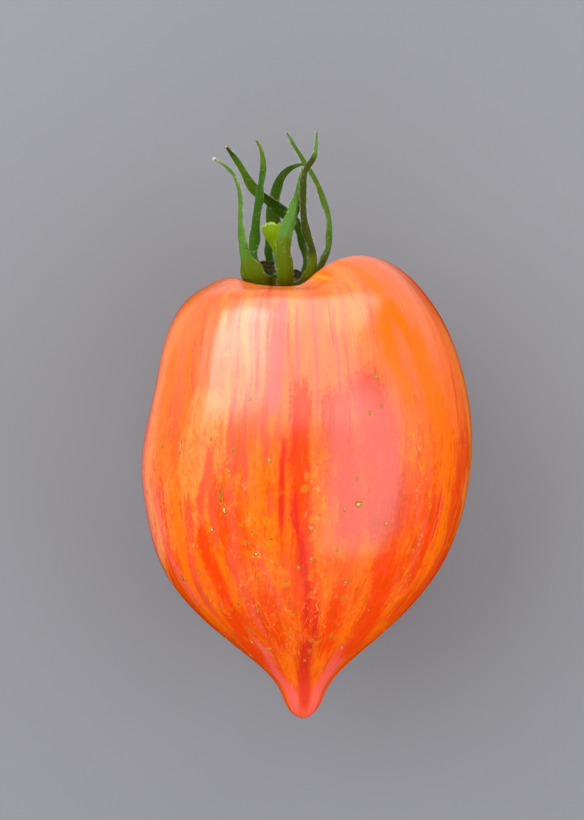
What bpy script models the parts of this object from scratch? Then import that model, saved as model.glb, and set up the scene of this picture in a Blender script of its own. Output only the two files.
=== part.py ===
"""A heart-shaped striped tomato with its calyx and stalk, lying on its side.

Sizes are in millimetres here and in metres in the meshes. +Y runs along the fruit from its pointed
tip to its stem end, +X is its right-hand side seen from above, and +Z is up. The origin is the
centre of the small flat spot that the fruit rests on.
"""
import bmesh
import bpy
import numpy as np

MM = 0.001

# The fruit's outline from the tip to the stem pole. Each row is a station on the skin: radius,
# height above the tip, share of the shoulders' lift, depth of the lobes as a share of the radius,
# and how far the station's centre stands to the right of the axis.
OUTLINE = (
    (0.0, 0.0, 0.0, 0.0, -0.7),  # tip
    (2.3, 1.1, 0.0, 0.03, -0.7),  # round end of the nipple
    (4.7, 5.6, 0.0, 0.04, -0.7),  # neck of the nipple
    (9.9, 11.6, 0.0, 0.032, -0.9),  # throat
    (19.9, 20.6, 0.0, 0.02, -1.2),  # lower flank
    (27.3, 29.6, 0.0, 0.014, -1.1),  # flank
    (31.5, 41.0, 0.0, 0.012, -0.4),  # belly
    (32.9, 52.0, 0.0, 0.012, 0.0),  # widest station
    (31.1, 65.6, 0.0, 0.014, 0.8),  # upper belly
    (27.8, 77.6, 0.02, 0.02, 0.3),  # shoulder
    (24.1, 83.6, 0.16, 0.026, 0.1),  # turn of the shoulder
    (19.0, 87.15, 0.8, 0.032, -0.6),  # brow
    (12.4, 88.6, 1.0, 0.03, -2.6),  # crest
    (7.4, 85.7, 0.6, 0.02, -4.2),  # slope of the pit
    (3.2, 84.3, 0.1, 0.01, -4.7),  # floor of the pit
    (0.0, 84.0, 0.0, 0.0, -4.7),  # stem pole
)
CREST_ROW = 12
# How high the shoulders' crest stands above the tip, all round the stem: direction in degrees from
# +X towards +Z, and height. It dips where the upper groove runs into the pit.
SHOULDERS = (
    (0.0, 92.2),
    (35.0, 91.4),
    (60.0, 89.4),
    (80.0, 86.2),
    (100.0, 85.2),
    (125.0, 85.9),
    (150.0, 87.4),
    (180.0, 87.9),
    (225.0, 88.0),
    (270.0, 88.3),
    (315.0, 90.6),
)
THICKNESS = 0.93  # height of the lying fruit as a share of its width
LOBES = 5
LOBE_CREST = 54.0  # degrees round from +X towards +Z
GROOVE_SHARPNESS = 1.6
FLANK_LEVEL = 0.34  # the lobe wave's value on the left and right flanks, which stay as measured
REST_STATION = 52.0  # height above the tip that the rest spot is under
REST_DEPTH = 0.55  # what the flat spot takes off the lowest lobe

FRUIT_SIDES = 60
RINGS_PER_STATION = 3
MIRRORED_ROWS = 3  # rows repeated past each pole, so that the curve crosses it level
CUT_SNAP = 0.03  # points this close to the rest spot's plane are moved onto it

# The calyx sits on the stem pole. Its sizes are from its seat, with X to the right, Y along the
# stalk and Z up.
SEAT = (-4.7, 85.5)  # right of the axis and above the tip
# The cup that the sepals are fused into at their feet: its outer face from the middle of the
# bottom up the wall, as radius and height. The wall is cut low in front, where the sepals part,
# and stands high behind.
CUP = ((0.0, -0.6), (2.4, -0.5), (4.3, 0.2), (5.9, 1.7), (6.8, 3.8), (7.1, 6.0))
CUP_WALL = 0.8
CUP_MIDDLE = 2.6  # thickness of the cup in its middle, where the stalk stands
CUP_MIDDLE_REACH = 0.4  # share of the outer face over which that thickness runs out
CUP_RIM_FRONT = 0.5  # share of the outer face that is left in front
CUP_RIM_BACK = 0.97
CUP_BACK = 250.0  # degrees round from +X towards +Z
CUP_SIDES = 28
CUP_RINGS = 7
ROOT_RADIUS = 0.8
ROOT_HEIGHT = 0.6

# Each sepal: direction round the stalk in degrees, widths of its foot and its middle, turn of the
# blade at its tip in degrees, and the route of its midrib from the cup's bottom to its tip.
SEPALS = (
    (142.0, 5.8, 2.2, 35.0, (
        (-4.1, 0.5, 4.4), (-6.6, 1.8, 5.8), (-7.9, 4.8, 6.2), (-8.1, 9.5, 5.6), (-8.3, 14.5, 4.8),
        (-8.6, 19.5, 4.2), (-9.8, 22.7, 3.8), (-11.6, 24.5, 3.4), (-13.6, 25.8, 3.2))),
    (193.0, 4.8, 3.0, -50.0, (
        (-4.3, 1.2, -1.0), (-6.2, 3.6, -1.7), (-6.4, 7.6, -2.0), (-5.9, 12.3, -1.8),
        (-5.4, 16.3, -1.4), (-4.6, 21.3, -1.3), (-4.2, 25.8, -1.7), (-4.6, 28.9, -2.2),
        (-5.4, 30.4, -2.6))),
    (311.0, 3.6, 3.1, 0.0, (
        (2.9, 1.2, -3.3), (5.0, 3.8, -5.6), (5.5, 6.6, -6.2), (5.1, 9.2, -6.8), (4.3, 11.8, -6.6),
        (2.5, 14.7, -6.0), (0.2, 16.6, -5.4), (-2.7, 18.7, -4.6), (-5.4, 20.6, -3.6),
        (-8.5, 25.3, -2.4), (-11.3, 28.9, -1.2))),
    (258.0, 4.6, 2.5, 0.0, (
        (-0.9, 1.2, -4.3), (-1.4, 4.0, -6.6), (-1.7, 9.4, -8.0), (-2.1, 13.9, -8.0),
        (-2.1, 17.9, -7.6), (-1.3, 21.7, -6.8), (0.4, 24.6, -5.4), (2.2, 25.6, -4.4),
        (4.2, 25.9, -3.2))),
    (90.0, 3.5, 3.2, -45.0, (
        (0.4, 0.2, 4.6), (0.6, 1.3, 7.1), (0.5, 4.4, 8.7), (0.4, 8.9, 8.6), (1.5, 12.9, 7.4),
        (2.7, 16.7, 5.6), (3.4, 20.3, 4.2), (3.8, 24.0, 3.2))),
    (39.0, 2.6, 1.8, 15.0, (
        (3.3, 0.9, 3.6), (5.3, 2.7, 5.4), (6.0, 5.5, 6.2), (5.6, 8.4, 6.5), (4.6, 11.7, 6.5),
        (4.1, 15.8, 6.5), (4.1, 19.5, 6.5), (4.6, 23.1, 6.2), (6.1, 25.6, 5.4), (6.6, 28.1, 4.6),
        (6.7, 30.9, 4.0))),
    (347.0, 4.0, 2.4, 40.0, (
        (4.6, 1.8, -1.0), (7.0, 4.3, -1.6), (9.0, 8.5, -1.8), (9.3, 12.7, -1.4), (8.5, 17.2, -0.8),
        (7.2, 20.5, -0.2), (5.6, 23.6, 0.4), (3.0, 27.6, 0.8), (0.8, 31.3, 1.4))),
)
# A sepal's width along its length: share of its length, share of the foot's width and share of the
# middle's width, which are added.
SEPAL_TAPER = (
    (0.0, 0.7, 0.0),
    (0.12, 1.0, 0.0),
    (0.24, 0.6, 0.35),
    (0.38, 0.0, 1.0),
    (0.6, 0.0, 0.86),
    (0.8, 0.0, 0.62),
    (0.93, 0.0, 0.42),
    (1.0, 0.0, 0.17),
)
SEPAL_RIB = (1.2, 0.72)  # thickness at the midrib, at the root and at the tip
SEPAL_EDGE = 0.62
SEPAL_CUP = 0.15  # how far the blade's edges curl inwards, as a share of its width
SEPAL_STATIONS = 18
SEPAL_POINTS = 5  # points across each face of a blade
SEPAL_CROWDING = 1.3  # stations are closer together near the root

# The stalk's outline: distance along it from its foot, and radius. It turns in at the flared rim and
# ends in the hollow of the broken face.
STALK_OUTLINE = (
    (0.0, 0.0),
    (0.0, 1.5),
    (0.5, 1.7),
    (1.8, 1.3),
    (3.8, 1.0),
    (6.2, 0.95),
    (7.9, 1.3),
    (9.1, 1.85),
    (10.0, 2.15),
    (10.3, 1.95),
    (9.9, 1.5),
    (9.5, 0.8),
    (9.4, 0.0),
)
STALK_ROUTE = ((0.1, 2.55, 0.0), (-0.5, 5.8, 0.1), (-1.3, 9.0, 0.2), (-2.0, 13.2, 0.3))
STALK_SIDES = 20
RIM_RAGGEDNESS = 0.3  # how far the broken rim rises and falls
RIM_TURN = 2.6  # radians by which the rim's two broad waves are turned
RIM_START = 8.6  # distance along the stalk where the rim's unevenness begins

WELD = 0.01  # points this close together after the union are joined
SHARP_FRUIT = 25.0  # degrees between faces above which an edge stays crisp
SHARP_GREEN = 48.0
TANGENT_STEP = 0.05

SKIN = ("tomato_skin", (0.86, 0.16, 0.02), 0.28)
SEPAL_GREEN = ("sepal_green", (0.09, 0.16, 0.015), 0.6)
STALK_GREEN = ("stalk_green", (0.16, 0.27, 0.02), 0.6)


def clear_scene():
    """Removes every object that the file opened with."""
    for thing in list(bpy.data.objects):
        bpy.data.objects.remove(thing, do_unlink=True)


def plain_material(look):
    """A material with the piece's colour and roughness."""
    name, colour, roughness = look
    material = bpy.data.materials.new(name)
    material.use_nodes = True
    shader = material.node_tree.nodes["Principled BSDF"]
    shader.inputs["Base Color"].default_value = (*colour, 1.0)
    shader.inputs["Roughness"].default_value = roughness
    shader.inputs["Metallic"].default_value = 0.0
    return material


def natural_spline(knots, values, at):
    """A cubic curve through the values at the knots, without bend at its ends, read at the places at."""
    steps = np.diff(knots)[:, None]
    slopes = np.diff(values, axis=0) / steps
    count = len(knots)
    inner = np.arange(1, count - 1)
    system = np.eye(count)
    system[inner, inner - 1] = steps[:-1, 0]
    system[inner, inner] = 2.0 * (steps[:-1, 0] + steps[1:, 0])
    system[inner, inner + 1] = steps[1:, 0]
    right = np.zeros_like(values)
    right[inner] = 6.0 * (slopes[1:] - slopes[:-1])
    bend = np.linalg.solve(system, right)
    span = np.clip(np.searchsorted(knots, at, side="right") - 1, 0, count - 2)
    step = steps[span]
    ahead = (at - knots[span])[:, None] / step
    behind = 1.0 - ahead
    line = behind * values[span] + ahead * values[span + 1]
    curve = (behind ** 3 - behind) * bend[span] + (ahead ** 3 - ahead) * bend[span + 1]
    return line + curve * step ** 2 / 6.0


def chord_knots(points):
    """The distance to each point along the straight lines between them."""
    return np.concatenate([[0.0], np.cumsum(np.linalg.norm(np.diff(points, axis=0), axis=1))])


def solid(name, points, faces, material):
    """A mesh object with its material, from points in millimetres."""
    mesh = bpy.data.meshes.new(name)
    mesh.from_pydata((np.asarray(points) * MM).tolist(), [], faces)
    mesh.materials.append(material)
    mesh.update()
    thing = bpy.data.objects.new(name, mesh)
    bpy.context.scene.collection.objects.link(thing)
    return thing


def ring_faces(rings, sides, start_pole, end_pole):
    """Faces between closed rings of points, and the fans that close both ends on a pole."""
    faces = []
    for ring in range(rings - 1):
        low = ring * sides
        for side in range(sides):
            after = (side + 1) % sides
            faces.append((low + side, low + after, low + sides + after, low + sides + side))
    last = (rings - 1) * sides
    for side in range(sides):
        after = (side + 1) % sides
        faces.append((start_pole, after, side))
        faces.append((end_pole, last + side, last + after))
    return faces


def shade_round(thing, sharp_angle):
    """Smooth shading, with edges sharper than the angle left crisp."""
    thing.data.shade_smooth()
    thing.data.set_sharp_from_angle(angle=sharp_angle)


def face_outwards(thing):
    """Turns every face of a closed mesh outwards."""
    mesh = bmesh.new()
    mesh.from_mesh(thing.data)
    bmesh.ops.recalc_face_normals(mesh, faces=mesh.faces)
    mesh.to_mesh(thing.data)
    mesh.free()


def fruit_stations():
    """Stations along the outline, with the rows mirrored past both poles so it crosses them level."""
    rows = np.array(OUTLINE)
    knots = chord_knots(rows[:, :2])
    across = np.array([-1.0, 1.0, 1.0, 1.0, 1.0])
    before = slice(MIRRORED_ROWS, 0, -1)
    after = slice(-2, -2 - MIRRORED_ROWS, -1)
    all_rows = np.concatenate([rows[before] * across, rows, rows[after] * across])
    all_knots = np.concatenate([-knots[before], knots, 2.0 * knots[-1] - knots[after]])
    count = (len(rows) - 1) * RINGS_PER_STATION + 1
    at = np.interp(np.linspace(0.0, len(rows) - 1.0, count), np.arange(len(rows)), knots)
    return natural_spline(all_knots, all_rows, at)


def lobe_wave(angle):
    """A wave round the fruit: broad crests at 1, narrow grooves at -1, level on the two flanks."""
    wave = np.cos(LOBES * (angle - np.radians(LOBE_CREST)))
    return 1.0 - 2.0 * ((1.0 - wave) / 2.0) ** GROOVE_SHARPNESS - FLANK_LEVEL


def shoulder_heights(angle):
    """How far the shoulders' crest stands above its mean station, from a closed curve round it."""
    rows = np.array(SHOULDERS)
    turns = np.concatenate([rows[:, 0] - 360.0, rows[:, 0], rows[:, 0] + 360.0])
    heights = np.tile(rows[:, 1], 3)[:, None]
    return natural_spline(turns, heights, np.degrees(angle))[:, 0] - OUTLINE[CREST_ROW][1]


def fruit_points(stations, angle):
    """Points of the skin: the outline carried round the axis, lifted at the shoulders and lobed."""
    radius, height, lift, lobe, shift = (stations[:, [column]] for column in range(5))
    shoulders = shoulder_heights(angle)
    reach = radius * (1.0 + lobe * lobe_wave(angle))
    x = shift + reach * np.cos(angle)
    y = height + lift * shoulders - REST_STATION
    z = THICKNESS * reach * np.sin(angle)
    return np.stack([x, y, z], axis=-1)


def make_fruit():
    """The fruit, with its lowest lobe cut flat where it rests."""
    angle = np.arange(FRUIT_SIDES) * 2.0 * np.pi / FRUIT_SIDES
    grid = fruit_points(fruit_stations(), angle)
    rings = grid[1:-1].reshape(-1, 3)
    points = np.concatenate([rings, grid[:1, 0], grid[-1:, 0]])
    faces = ring_faces(len(grid) - 2, FRUIT_SIDES, len(rings), len(rings) + 1)
    fruit = solid("fruit", points, faces, plain_material(SKIN))
    lowest = points[:, 2].min() + REST_DEPTH
    mesh = bmesh.new()
    mesh.from_mesh(fruit.data)
    bmesh.ops.recalc_face_normals(mesh, faces=mesh.faces)
    cut = bmesh.ops.bisect_plane(
        mesh,
        geom=mesh.verts[:] + mesh.edges[:] + mesh.faces[:],
        dist=CUT_SNAP * MM,
        plane_co=(0.0, 0.0, lowest * MM),
        plane_no=(0.0, 0.0, 1.0),
        clear_inner=True,
    )
    rim = [item for item in cut["geom_cut"] if isinstance(item, bmesh.types.BMEdge)]
    bmesh.ops.contextual_create(mesh, geom=rim)
    bmesh.ops.recalc_face_normals(mesh, faces=mesh.faces)
    mesh.to_mesh(fruit.data)
    mesh.free()
    shade_round(fruit, np.radians(SHARP_FRUIT))
    fruit.location = (0.0, 0.0, -lowest * MM)
    return fruit


def unit_tangents(path):
    """The direction of a path at each of its points."""
    tangents = np.gradient(path, axis=0)
    return tangents / np.linalg.norm(tangents, axis=1)[:, None]


def carry_side(tangents, side):
    """A side vector carried along the path with as little twist as possible."""
    carried = []
    for tangent in tangents:
        side = side - tangent * np.dot(side, tangent)
        side = side / np.linalg.norm(side)
        carried.append(side)
    return np.array(carried)


def make_sepal(number, direction, foot, middle, turn, route):
    """One narrow blade: a lens-shaped section, curled inwards, carried along the midrib's route."""
    azimuth = np.radians(direction)
    outward = np.array([np.cos(azimuth), 0.0, np.sin(azimuth)])
    root = outward * ROOT_RADIUS + np.array([0.0, ROOT_HEIGHT, 0.0])
    points = np.concatenate([[root], np.array(route)])
    knots = chord_knots(points)
    share = np.linspace(0.0, 1.0, SEPAL_STATIONS) ** SEPAL_CROWDING
    path = natural_spline(knots, points, share * knots[-1])
    tangents = unit_tangents(path)
    side = carry_side(tangents, np.array([-np.sin(azimuth), 0.0, np.cos(azimuth)]))
    inner = np.cross(side, tangents)
    inner *= np.sign(np.dot(inner[0], [0.0, 1.0, 0.0]))
    twist = np.radians(turn) * share[:, None]
    turned = side * np.cos(twist) + inner * np.sin(twist)
    inner = inner * np.cos(twist) - side * np.sin(twist)
    taper = np.array(SEPAL_TAPER)
    foot_share = np.interp(share, taper[:, 0], taper[:, 1])
    middle_share = np.interp(share, taper[:, 0], taper[:, 2])
    half = 0.5 * (foot * foot_share + middle * middle_share)[:, None]
    rib = (SEPAL_RIB[0] + (SEPAL_RIB[1] - SEPAL_RIB[0]) * share)[:, None]
    across = np.linspace(-1.0, 1.0, SEPAL_POINTS)[None, :]
    thick = 0.5 * (rib + (SEPAL_EDGE - rib) * across ** 2)
    curl = SEPAL_CUP * 2.0 * half * across ** 2
    spread = (half * across)[:, :, None] * turned[:, None, :]
    sheet = path[:, None, :] + spread + curl[:, :, None] * inner[:, None, :]
    upper = sheet + thick[:, :, None] * inner[:, None, :]
    lower = sheet - thick[:, :, None] * inner[:, None, :]
    section = np.concatenate([upper, lower[:, ::-1]], axis=1)
    sides = 2 * SEPAL_POINTS
    rows = section.reshape(-1, 3)
    faces = []
    for station in range(SEPAL_STATIONS - 1):
        low = station * sides
        for step in range(SEPAL_POINTS - 1):
            faces += blade_pair(low, sides, step)
        faces += edge_pair(low, sides, SEPAL_POINTS - 1, SEPAL_POINTS)
        faces += edge_pair(low, sides, sides - 1, 0)
    faces.append(tuple(range(sides)))
    faces.append(tuple(reversed(range(len(rows) - sides, len(rows)))))
    sepal = solid("sepal_%d" % number, rows, faces, bpy.data.materials[SEPAL_GREEN[0]])
    face_outwards(sepal)
    return sepal


def blade_pair(low, sides, step):
    """The same triangles on the upper and the lower face of a blade, between two stations."""
    faces = []
    for near, far in ((step, step + 1), (sides - 1 - step, sides - 2 - step)):
        faces.append((low + near, low + far, low + sides + far))
        faces.append((low + near, low + sides + far, low + sides + near))
    return faces


def edge_pair(low, sides, near, far):
    """The two triangles that close a blade's edge between two stations."""
    return [
        (low + near, low + far, low + sides + far),
        (low + near, low + sides + far, low + sides + near),
    ]


def make_cup():
    """The shallow cup at the foot of the sepals, with its rim low in front and high behind."""
    rows = np.array(CUP)
    knots = chord_knots(rows)
    angle = np.arange(CUP_SIDES) * 2.0 * np.pi / CUP_SIDES
    back = 0.5 + 0.5 * np.cos(angle - np.radians(CUP_BACK))
    rim = CUP_RIM_FRONT + (CUP_RIM_BACK - CUP_RIM_FRONT) * back
    share = np.linspace(0.0, 1.0, CUP_RINGS + 1)[1:, None] * rim
    outer = natural_spline(knots, rows, share.ravel() * knots[-1]).reshape(*share.shape, 2)
    slope = np.gradient(outer, axis=0)
    slope /= np.linalg.norm(slope, axis=2)[:, :, None]
    inwards = np.stack([-slope[:, :, 1], slope[:, :, 0]], axis=2)
    middle = np.clip(1.0 - (share / CUP_MIDDLE_REACH) ** 2, 0.0, 1.0)
    wall = CUP_WALL + (CUP_MIDDLE - CUP_WALL) * middle
    inner = outer + wall[:, :, None] * inwards
    rings = np.concatenate([outer, inner[::-1]])
    x = rings[:, :, 0] * np.cos(angle)
    z = rings[:, :, 0] * np.sin(angle)
    points = np.stack([x, rings[:, :, 1], z], axis=-1).reshape(-1, 3)
    poles = [(0.0, rows[0, 1], 0.0), (0.0, rows[0, 1] + CUP_MIDDLE, 0.0)]
    points = np.concatenate([points, poles])
    faces = ring_faces(len(rings), CUP_SIDES, len(points) - 2, len(points) - 1)
    cup = solid("calyx", points, faces, plain_material(SEPAL_GREEN))
    face_outwards(cup)
    return cup


def keep_outer_shell(mesh):
    """Keeps the largest connected shell, which fills any small hollow that the union sealed."""
    left = set(mesh.verts)
    shells = []
    while left:
        shell = set()
        front = {left.pop()}
        while front:
            shell |= front
            front = {edge.other_vert(point) for point in front for edge in point.link_edges} - shell
        left -= shell
        shells.append(shell)
    outer = max(shells, key=len)
    inside = [point for point in mesh.verts if point not in outer]
    bmesh.ops.delete(mesh, geom=inside, context="VERTS")


def fuse(base, repeats):
    """Joins the repeats to their base in one closed solid, and removes them."""
    group = bpy.data.collections.new("repeats")
    bpy.context.scene.collection.children.link(group)
    for thing in repeats:
        bpy.context.scene.collection.objects.unlink(thing)
        group.objects.link(thing)
    union = base.modifiers.new("join", "BOOLEAN")
    union.operation = "UNION"
    union.operand_type = "COLLECTION"
    union.collection = group
    union.solver = "EXACT"
    depsgraph = bpy.context.evaluated_depsgraph_get()
    joined = bpy.data.meshes.new_from_object(base.evaluated_get(depsgraph))
    base.modifiers.remove(union)
    base.data = joined
    for thing in repeats:
        bpy.data.objects.remove(thing, do_unlink=True)
    bpy.data.collections.remove(group)
    mesh = bmesh.new()
    mesh.from_mesh(joined)
    bmesh.ops.remove_doubles(mesh, verts=mesh.verts, dist=WELD * MM)
    bmesh.ops.dissolve_degenerate(mesh, edges=mesh.edges, dist=WELD * MM)
    keep_outer_shell(mesh)
    bmesh.ops.triangulate(mesh, faces=mesh.faces)
    mesh.to_mesh(joined)
    mesh.free()


def make_calyx():
    """Seven sepals fused to the cup at their feet."""
    calyx = make_cup()
    repeats = []
    for number, (direction, foot, middle, turn, route) in enumerate(SEPALS, start=1):
        repeats.append(make_sepal(number, direction, foot, middle, turn, route))
    fuse(calyx, repeats)
    shade_round(calyx, np.radians(SHARP_GREEN))
    return calyx


def make_stalk():
    """The stalk's stub: its outline carried along a bent line, with a ragged rim."""
    rows = np.array(STALK_OUTLINE)
    route = np.array(STALK_ROUTE)
    knots = chord_knots(route)
    rings = rows[1:-1]
    along = rows[:, 0]
    path = natural_spline(knots, route, along)
    ahead = natural_spline(knots, route, np.clip(along + TANGENT_STEP, 0.0, knots[-1]))
    behind = natural_spline(knots, route, np.clip(along - TANGENT_STEP, 0.0, knots[-1]))
    tangents = ahead - behind
    tangents /= np.linalg.norm(tangents, axis=1)[:, None]
    side = carry_side(tangents, np.array([1.0, 0.0, 0.0]))
    other = np.cross(tangents, side)
    angle = np.arange(STALK_SIDES) * 2.0 * np.pi / STALK_SIDES
    rise = RIM_RAGGEDNESS * (np.cos(2.0 * angle + RIM_TURN) + 0.6 * np.cos(3.0 * angle))
    share = np.clip((rings[:, 0] - RIM_START) / (rings[:, 0].max() - RIM_START), 0.0, 1.0)
    fade = share * rings[:, 1] / rings[:, 1].max()
    turn = angle[None, :, None]
    radial = np.cos(turn) * side[1:-1, None] + np.sin(turn) * other[1:-1, None]
    lift = (fade[:, None] * rise)[:, :, None] * tangents[1:-1, None]
    points = path[1:-1, None] + rings[:, 1, None, None] * radial + lift
    points = np.concatenate([points.reshape(-1, 3), path[:1], path[-1:]])
    faces = ring_faces(len(rings), STALK_SIDES, len(points) - 2, len(points) - 1)
    stalk = solid("stalk", points, faces, plain_material(STALK_GREEN))
    face_outwards(stalk)
    shade_round(stalk, np.radians(SHARP_GREEN))
    return stalk


def build():
    """Makes the fruit, then stands the calyx and the stalk on its stem pole."""
    clear_scene()
    fruit = make_fruit()
    seat = bpy.data.objects.new("stem_seat", None)
    bpy.context.scene.collection.objects.link(seat)
    seat.location = (SEAT[0] * MM, (SEAT[1] - REST_STATION) * MM, fruit.location.z)
    for thing in (make_calyx(), make_stalk()):
        thing.parent = seat


build()
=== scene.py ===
# %% [markdown]
# # A heart-shaped striped tomato, seen from straight above
#
# The solids of this part come in as a fixed frame: `fruit`, `calyx` and `stalk`. This lesson makes a
# finer surface for each of them with the same formulas, and paints it with shader nodes.
# The sizes below are in millimetres, and each mesh is turned into metres when it is made.

import bpy
import numpy as np
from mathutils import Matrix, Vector


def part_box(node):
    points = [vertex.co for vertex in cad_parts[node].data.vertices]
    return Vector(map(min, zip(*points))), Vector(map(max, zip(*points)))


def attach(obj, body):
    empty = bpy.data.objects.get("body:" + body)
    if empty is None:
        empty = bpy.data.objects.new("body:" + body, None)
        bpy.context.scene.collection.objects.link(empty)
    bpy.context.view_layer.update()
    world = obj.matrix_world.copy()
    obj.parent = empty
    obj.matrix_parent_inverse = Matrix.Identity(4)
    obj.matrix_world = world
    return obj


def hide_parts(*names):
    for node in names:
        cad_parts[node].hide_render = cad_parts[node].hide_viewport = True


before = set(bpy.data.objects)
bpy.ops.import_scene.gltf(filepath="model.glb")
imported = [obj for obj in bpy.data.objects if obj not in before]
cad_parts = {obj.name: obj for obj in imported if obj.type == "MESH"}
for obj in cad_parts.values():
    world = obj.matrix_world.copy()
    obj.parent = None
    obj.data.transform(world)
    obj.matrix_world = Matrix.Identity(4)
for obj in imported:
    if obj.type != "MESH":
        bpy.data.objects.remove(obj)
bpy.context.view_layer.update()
MM = 0.001
for node_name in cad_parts:
    low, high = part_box(node_name)
    print(node_name, "is", [round((b - a) / MM, 1) for a, b in zip(low, high)], "mm")

# %% [markdown]
# ## Surfaces from arrays
#
# Every new piece here is a set of closed rings of points. The rings are one numpy array, with a row
# for each ring and a column for each place round it. One function turns such an array into a mesh: it
# joins neighbouring rings with four-sided faces, and closes both ends with a fan of triangles on one
# point. A mesh looks right only if its faces point outwards, so a helper works out the volume that the
# faces enclose. If that comes out negative, they point inwards, and it turns them round.

# %% Rings to a closed mesh
MM3_PER_CM3 = 1000.0


def ring_faces(rings, sides):
    """Corners of the four-sided faces between rings, and of a fan on one more point at each end."""
    ring, side = np.meshgrid(np.arange(rings - 1), np.arange(sides), indexing="ij")
    after = (side + 1) % sides
    near = ring * sides
    far = near + sides
    quads = np.stack([near + side, near + after, far + after, far + side], axis=-1).reshape(-1, 4)
    side, after = side[0], after[0]
    last = (rings - 1) * sides
    start, end = np.full(sides, rings * sides), np.full(sides, rings * sides + 1)
    first_fan = np.stack([start, after, side], axis=-1)
    last_fan = np.stack([end, last + side, last + after], axis=-1)
    return quads, np.concatenate([first_fan, last_fan])


def facing_out(points, quads, fans):
    """Turns the faces round if the volume in them, the sum of a . (b x c) / 6, comes out negative."""
    triangles = np.concatenate([quads[:, :3], quads[:, [0, 2, 3]], fans])
    a, b, c = (points[triangles[:, corner]] for corner in range(3))
    volume = np.einsum("ij,ij->i", a, np.cross(b, c)).sum() / 6.0
    if volume < 0.0:
        quads, fans = quads[:, ::-1], fans[:, ::-1]
    return quads, fans, abs(volume)


def new_piece(name, points, faces, material, smooth=True):
    """A mesh object from points in millimetres and the corner numbers of its faces."""
    mesh = bpy.data.meshes.new(name)
    mesh.from_pydata((points * MM).tolist(), [], faces)
    if smooth:
        mesh.shade_smooth()
    mesh.materials.append(material)
    piece = bpy.data.objects.new(name, mesh)
    bpy.context.scene.collection.objects.link(piece)
    return piece


def closed_surface(name, grid, start, end, material):
    """A smooth closed piece from rings of points and the point that closes each end."""
    points = np.concatenate([grid.reshape(-1, 3), [start], [end]])
    quads, fans, volume = facing_out(points, *ring_faces(*grid.shape[:2]))
    triangles = 2 * len(quads) + len(fans)
    print(name, "has", triangles, "triangles and holds", round(volume / MM3_PER_CM3, 2), "cm3")
    return new_piece(name, points, quads.tolist() + fans.tolist(), material)


def keep_value(piece, name, values):
    """Stores one number, or one vector, for each point, for the shader to read by its name."""
    values = np.asarray(values, dtype=np.float32)
    kind, field = ("FLOAT_VECTOR", "vector") if values.ndim == 2 else ("FLOAT", "value")
    attribute = piece.data.attributes.new(name, kind, "POINT")
    attribute.data.foreach_set(field, values.ravel())


def keep_rings(piece, name, values, sides, ends):
    """Stores one value for all the points of each ring, and one for the point at each end."""
    keep_value(piece, name, np.concatenate([np.repeat(values, sides), ends]))


# %% [markdown]
# ## Smooth curves through a few points
#
# The fruit's outline and the sepals' routes are given by a handful of points each. A natural cubic
# spline is the curve that a thin springy strip takes when it is held at those points. It is found by
# solving one small set of equations for the bend at each point, and numpy solves it for all the
# columns at once.

# %% A natural cubic spline
def natural_spline(knots, values, at):
    """Between two knots the curve is the straight line plus a cubic that takes up the solved bends."""
    steps = np.diff(knots)[:, None]
    slopes = np.diff(values, axis=0) / steps
    count = len(knots)
    inner = np.arange(1, count - 1)
    system = np.eye(count)
    system[inner, inner - 1] = steps[:-1, 0]
    system[inner, inner] = 2.0 * (steps[:-1, 0] + steps[1:, 0])
    system[inner, inner + 1] = steps[1:, 0]
    right = np.zeros_like(values)
    right[inner] = 6.0 * (slopes[1:] - slopes[:-1])
    bend = np.linalg.solve(system, right)
    span = np.clip(np.searchsorted(knots, at, side="right") - 1, 0, count - 2)
    step = steps[span]
    ahead = (at - knots[span])[:, None] / step
    behind = 1.0 - ahead
    line = behind * values[span] + ahead * values[span + 1]
    curve = (behind ** 3 - behind) * bend[span] + (ahead ** 3 - ahead) * bend[span + 1]
    return line + curve * step ** 2 / 6.0


def chord_knots(points):
    """The distance to each point along the straight lines between them."""
    return np.concatenate([[0.0], np.cumsum(np.linalg.norm(np.diff(points, axis=0), axis=1))])


def unit(vectors):
    """Each vector divided by its own length."""
    return vectors / np.linalg.norm(vectors, axis=-1, keepdims=True)


def smooth_step(low, high, value):
    """0 below low, 1 above high, and an S-shaped rise 3t^2 - 2t^3 between them."""
    share = np.clip((value - low) / (high - low), 0.0, 1.0)
    return share * share * (3.0 - 2.0 * share)


# %% [markdown]
# ## The fruit's form
#
# The fruit is nearly a turned shape: an outline from the pointed tip to the stem pole, carried round
# the long axis. Three things make it grown rather than turned. Each station's centre may stand a little
# to one side, five soft lobes run lengthwise, and the shoulders rise more on one side of the stem than
# on the other. All three are added in the same formula, so the whole skin is one function of the
# distance along the outline and the angle round the axis.

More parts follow.
